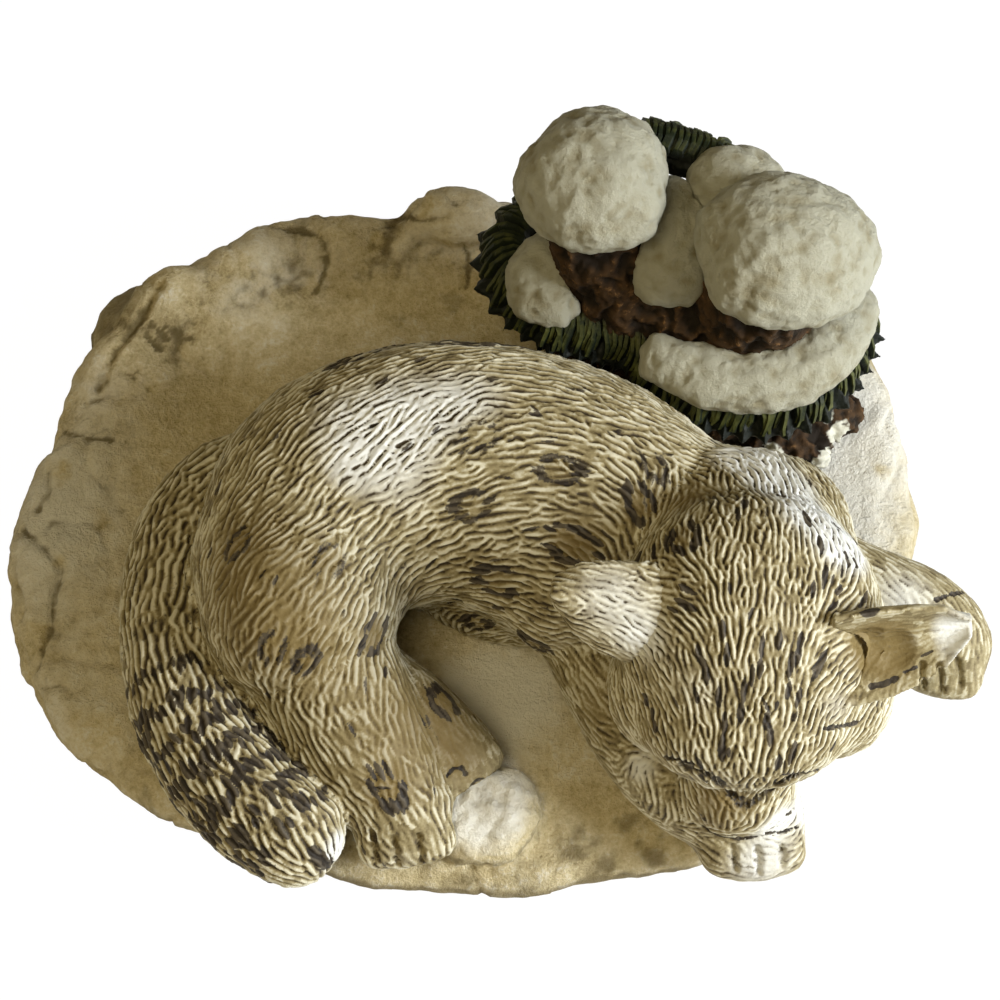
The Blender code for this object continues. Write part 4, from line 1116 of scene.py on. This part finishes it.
stump = fine_copy("carved_stump", ["stump"], STUMP_GRAIN, STUMP_SOFTENING)
stump_points, stump_normals = points_of(stump)
stretched = stump_points / np.array((1, 1, BARK_STRETCH))
ridges = 1 - 2 * np.abs(cloudy(stretched, BARK_LUMP, octaves=4))
stump_surface = surface_tree(stump)
rough = cloudy(stump_points, BARK_SPECK)
rise = BARK_DEPTH * (ridges - BARK_LEVEL) + BARK_SPECK_DEPTH * rough
move_points(stump, stump_points + stump_normals * rise[:, None])
root_snow = np.zeros(len(stump_points))
for place, _, reach in seen_rows(stump_surface, ROOT_SNOW):
    away = shares_away(stump_points, place, reach * MM)
    root_snow = np.maximum(root_snow, np.clip(ROOT_SNOW_CORE - away + ROOT_SNOW_SWAY * rough, 0, 1))
store(stump, "snow", root_snow)
store(stump, "relief", np.clip(BARK_RELIEF + RIDGE_RELIEF * ridges + SPECK_RELIEF * rough, 0, 1))
dress(stump, bark_finish())
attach(stump, "root")
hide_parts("stump")

# Fir boughs
# Fringes of drooping needles, cast with the boughs and painted dark green with yellow-green tips. The needles
# are tapered blades in two staggered rows, laid over the bough's own casting and joined to it.
# The crests of the needles carry a painted highlight, and their lower edges painted shade.
STUMP_FOOT = Vector((28.0, 28.0, 15.5)) * MM
# Twigs that the needles hang from: x, y and height in mm, measured from the foot of the stump
TWIGS = {
    "front_bough": (
        (-5.0, -6.0, 18.0), (0.0, -9.5, 17.5), (6.5, -12.5, 17.0), (14.0, -13.2, 17.0), (20.5, -10.0, 18.0),
        (24.0, -4.0, 20.0), (25.0, -1.0, 21.0),
    ),
    "middle_bough": ((-20.5, -0.5, 21.7), (-16.0, -1.2, 21.2), (-10.5, -2.2, 20.7), (-4.5, -4.5, 20.2)),
    "left_bough": (
        (-20.5, 14.0, 23.5), (-24.5, 10.5, 23.0), (-24.5, 5.5, 22.5), (-21.0, 1.5, 21.5), (-17.5, -0.5, 21.0),
    ),
    "rear_bough": ((10.5, 9.5, 37.0), (5.0, 12.0, 39.0), (-1.0, 14.0, 40.0), (-6.0, 15.5, 40.0)),
}
BOUGH_GRAIN = 0.40 * MM
BOUGH_SOFTENING = 4
# The bough under the needles is cut back a little and ribbed
BOUGH_CUT = 0.3 * MM
RIB_SIZE = 1.0 * MM
RIB_DEPTH = 0.2 * MM
RIB_TONES = (0.15, 0.25)
NEEDLE_PITCH = 1.02 * MM
NEEDLE_WIDTH = 1.32 * MM
NEEDLE_RIDGE = 0.62 * MM
NEEDLE_SPREAD = 0.16
NEEDLE_WAVE = 0.45
NEEDLE_WAVE_STEP = 1.25
NEEDLE_WAVE_TURN = 9
# Rows of needles: share of the full reach, and height above the twig in mm
NEEDLE_ROWS = ((1.0, 0.0), (0.84, 0.5))
NEEDLE_STAGGER = 0.5
NEEDLE_REACH = (0.88, 1.06)
# A needle's section: share of the half width, share of the ridge's height, tone, which paints a highlight on
# the crest and shade at the lower edges
NEEDLE_SECTION = ((-1, -1, 0.05), (-0.45, 0.8, 0.85), (0.45, 0.8, 0.95), (1, -1, 0.05))
NEEDLE_FORWARD = 0.6
NEEDLE_TONES = (0.75, 0.3)
# How a needle droops from its twig: outward and upward in mm, and its share of the width
NEEDLE_DROOP = (
    (-1.0, 2.3, 0.9), (0.8, 3.0, 1.0), (2.6, 3.0, 1.0), (4.3, 2.2, 1.0), (5.6, 0.8, 0.95), (6.4, -0.9, 0.85),
    (6.7, -2.4, 0.6),
)
FIR_DARK = (0.004, 0.006, 0.003, 1)
FIR_GREEN = (0.009, 0.014, 0.004, 1)
# Yellow-green of the tips, and the painted highlight on the crests of the needles
FIR_TIP_AND_HIGHLIGHT = (0.080, 0.085, 0.020, 1)
FIR_PATCHES = 0.8
FIR_TONES = ((0.2, FIR_DARK), (0.70, FIR_GREEN), (1.0, FIR_TIP_AND_HIGHLIGHT))


def fir_finish():
    finish = Finish("fir_needles", roughness=0.6, specular=0.3)
    relief = finish.attribute("relief")
    patches = finish.grain(3.0, detail=4.0)
    specks = finish.grain(0.5, detail=2.0)
    level = finish.plus(relief, finish.swing(patches, FIR_PATCHES))
    finish.paint(finish.ramp(level, FIR_TONES))
    finish.emboss(specks, depth_mm=0.12)
    return finish.material


def stations_along(points, pitch):
    """Places at an even pitch along a line of points, and the way the line runs there."""
    found = []
    carry = pitch / 2
    for start, finish in zip(points, points[1:]):
        length = (finish - start).length
        while carry < length:
            found.append((start.lerp(finish, carry / length), (finish - start).normalized()))
            carry += pitch
        carry -= length
    return found


def smooth_line(points, steps=8):
    """A smooth line through a few points."""
    points = [points[0] * 2 - points[1], *points, points[-1] * 2 - points[-2]]
    line = []
    for a, b, c, d in zip(points, points[1:], points[2:], points[3:]):
        for k in range(steps):
            t = k / steps
            squared, cubed = 2 * a - 5 * b + 4 * c - d, 3 * b - a - 3 * c + d
            line.append(0.5 * (2 * b + (c - a) * t + squared * t**2 + cubed * t**3))
    return [*line, points[-2]]


def add_needle(bm, relief, root, out, reach, lean):
    """One drooping blade with a ridge along its top."""
    side = out.cross(Vector((0, 0, 1))).normalized()
    rings = []
    for i, (forth, up, share) in enumerate(NEEDLE_DROOP):
        sway = lean * forth + NEEDLE_WAVE * math.sin(NEEDLE_WAVE_STEP * i + NEEDLE_WAVE_TURN * lean)
        middle = root + (out * forth * reach + Vector((0, 0, up))) * MM + side * sway * MM
        half = side * NEEDLE_WIDTH * share / 2
        ridge = Vector((0, 0, NEEDLE_RIDGE * share)) + out * NEEDLE_RIDGE * share * NEEDLE_FORWARD
        rings.append([])
        for beside, above, tone in NEEDLE_SECTION:
            vert = bm.verts.new(middle + half * beside + ridge * above)
            vert[relief] = tone * (NEEDLE_TONES[0] + NEEDLE_TONES[1] * i / len(NEEDLE_DROOP))
            rings[-1].append(vert)
    for before, after in zip(rings, rings[1:]):
        for k in range(len(before)):
            n = (k + 1) % len(before)
            bm.faces.new((before[k], before[n], after[n], after[k]))
    bm.faces.new(rings[0][::-1])
    bm.faces.new(rings[-1])


fir = fir_finish()
for node, twig in TWIGS.items():
    bough = fine_copy("carved_" + node, [node], BOUGH_GRAIN, BOUGH_SOFTENING)
    bough_points, bough_normals = points_of(bough)
    ribs = cloudy(bough_points, RIB_SIZE)
    move_points(bough, bough_points + bough_normals * (RIB_DEPTH * ribs - BOUGH_CUT)[:, None])
    store(bough, "relief", np.clip(RIB_TONES[0] + RIB_TONES[1] * ribs, 0, 1))
    bm = bmesh.new()
    bm.from_mesh(bough.data)
    relief = bm.verts.layers.float["relief"]
    line = smooth_line([STUMP_FOOT + Vector(point) * MM for point in twig])
    for row, (reach, above) in enumerate(NEEDLE_ROWS):
        for root, along in stations_along(line, NEEDLE_PITCH):
            root = root + along * NEEDLE_PITCH * NEEDLE_STAGGER * row + Vector((0, 0, above)) * MM
            out = Vector((0, 0, 1)).cross(along).normalized()
            if out.dot(root - STUMP_FOOT) < 0:
                out.negate()
            lean = random_source.uniform(-NEEDLE_SPREAD, NEEDLE_SPREAD)
            add_needle(bm, relief, root, out, reach * random_source.uniform(*NEEDLE_REACH), lean)
    bmesh.ops.recalc_face_normals(bm, faces=bm.faces)
    bm.to_mesh(bough.data)
    bm.free()
    dress(bough, fir)
    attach(bough, "root")
    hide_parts(node)

# Snow on the stump
# Heaps of snow cast in resin: round caps on the broken stems, and drifts on the ledges. They are painted
# off-white over a pitted surface, a little yellow with age.
SNOW_NODES = (
    "left_snow_cap", "right_snow_cap", "rear_snow_cap", "saddle_snow", "left_ledge_snow", "front_ledge_snow",
)
SNOW_GRAIN = 0.36 * MM
SNOW_SOFTENING = 14
SNOW_SWELL = 0.2 * MM
SNOW_FACET_SIZE = 6.5 * MM
SNOW_FACET_DEPTH = 1.1 * MM
SNOW_FACET_LEVEL = 0.5
SNOW_POCK_SIZE = 1.7 * MM
SNOW_POCK_DEPTH = 0.30 * MM
SNOW_POCK_LIMIT = 0.15
SNOW_CHIP_SIZE = 2.3 * MM
SNOW_CHIP_DEPTH = 0.42 * MM
SNOW_CHIP_LEVEL = 0.4
SNOW_WHITE = (0.46, 0.445, 0.345, 1)
SNOW_CREAM = (0.32, 0.286, 0.184, 1)
SNOW_SHADE = (0.15, 0.125, 0.066, 1)
SNOW_TONES = ((0.28, SNOW_SHADE), (0.50, SNOW_CREAM), (0.72, SNOW_WHITE))
SNOW_MOTTLE = 0.6
SNOW_HOLLOWS = 0.6
# What the carving adds to the relief that the paint follows
SNOW_RELIEF = 0.6
DENT_RELIEF = 0.25
POCK_RELIEF = 0.18
CHIP_RELIEF = 0.5


def cells(points, size):
    """How far each point lies from the middle of its cell, in shares of a cell's size."""
    return np.array([noise.voronoi(Vector(point) / size)[0][0] for point in points])


def snow_finish():
    finish = Finish("old_snow", roughness=0.7, specular=0.25)
    relief = finish.attribute("relief")
    mottle = finish.grain(5.0, detail=4.0)
    specks = finish.grain(0.9, detail=6.0, roughness=0.75)
    level = finish.plus(finish.times(mottle, SNOW_MOTTLE), finish.times(relief, SNOW_HOLLOWS))
    finish.paint(finish.ramp(level, SNOW_TONES))
    finish.emboss(specks, depth_mm=0.75)
    return finish.material


snow = snow_finish()
for node in SNOW_NODES:
    heap = fine_copy("carved_" + node, [node], SNOW_GRAIN, SNOW_SOFTENING)
    heap_points, heap_normals = points_of(heap)
    dents = SNOW_FACET_LEVEL - cells(heap_points, SNOW_FACET_SIZE)
    pocks = np.minimum(cloudy(heap_points, SNOW_POCK_SIZE), SNOW_POCK_LIMIT)
    chips = cells(heap_points, SNOW_CHIP_SIZE) - SNOW_CHIP_LEVEL
    rise = SNOW_FACET_DEPTH * dents + SNOW_POCK_DEPTH * pocks + SNOW_CHIP_DEPTH * chips + SNOW_SWELL
    move_points(heap, heap_points + heap_normals * rise[:, None])
    relief = SNOW_RELIEF + DENT_RELIEF * dents + POCK_RELIEF * pocks + CHIP_RELIEF * chips
    store(heap, "relief", np.clip(relief, 0, 1))
    dress(heap, snow)
    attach(heap, "root")
    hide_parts(node)

# Table and light
# A plain pale table top and soft studio light: a window on the right, and a weaker and warmer lamp high up on
# the left.
FLOOR_SIZE = 3.0
FLOOR_HEIGHT = -0.2 * MM
FLOOR_WHITE = (0.93, 0.93, 0.92, 1)
FLOOR_GLOW = 0.94
FLOOR_BRIGHTNESS = 1.05
WORLD_LIGHT = (1.0, 0.83, 0.50, 1)
WORLD_STRENGTH = 0.08
# Lamps: place and size in metres, power in watts, colour
LAMPS = {
    "window_light": ((0.42, -0.16, 0.29), 0.20, 4.1, (0.93, 0.97, 1.0)),
    "room_light": ((-0.20, -0.32, 0.68), 0.40, 2.3, (1.0, 0.85, 0.52)),
}

bpy.ops.object.select_all(action="DESELECT")
bpy.ops.mesh.primitive_plane_add(size=FLOOR_SIZE, location=(0, 0, FLOOR_HEIGHT))
floor = bpy.context.object
floor.name = "table_top"
floor_finish = Finish("pale_table", roughness=0.9, specular=0.1)
floor_finish.paint(FLOOR_WHITE)
glow = floor_finish.nodes.new("ShaderNodeEmission")
glow.inputs["Color"].default_value = (1, 1, 1, 1)
glow.inputs["Strength"].default_value = FLOOR_BRIGHTNESS
path = floor_finish.nodes.new("ShaderNodeLightPath")
blend = floor_finish.nodes.new("ShaderNodeMixShader")
share = floor_finish.times(path.outputs["Is Camera Ray"], FLOOR_GLOW)
floor_finish.links.new(share, blend.inputs["Fac"])
floor_finish.links.new(floor_finish.shader.outputs["BSDF"], blend.inputs[1])
floor_finish.links.new(glow.outputs["Emission"], blend.inputs[2])
output = next(node for node in floor_finish.nodes if node.type == "OUTPUT_MATERIAL")
floor_finish.links.new(blend.outputs["Shader"], output.inputs["Surface"])
floor.data.materials.append(floor_finish.material)


def add_lamp(name, place, size, power, colour):
    """A square soft light that looks at the figurine."""
    bpy.ops.object.light_add(type="AREA", location=place)
    lamp = bpy.context.object
    lamp.name = name
    lamp.data.size = size
    lamp.data.energy = power
    lamp.data.color = colour
    lamp.rotation_euler = (CAMERA_TARGET - Vector(place)).to_track_quat("-Z", "Y").to_euler()


for name, values in LAMPS.items():
    add_lamp(name, *values)

world = bpy.data.worlds.new("studio")
world.use_nodes = True
background = world.node_tree.nodes["Background"]
background.inputs["Color"].default_value = WORLD_LIGHT
background.inputs["Strength"].default_value = WORLD_STRENGTH
bpy.context.scene.world = world
bpy.context.scene.view_settings.view_transform = "Standard"
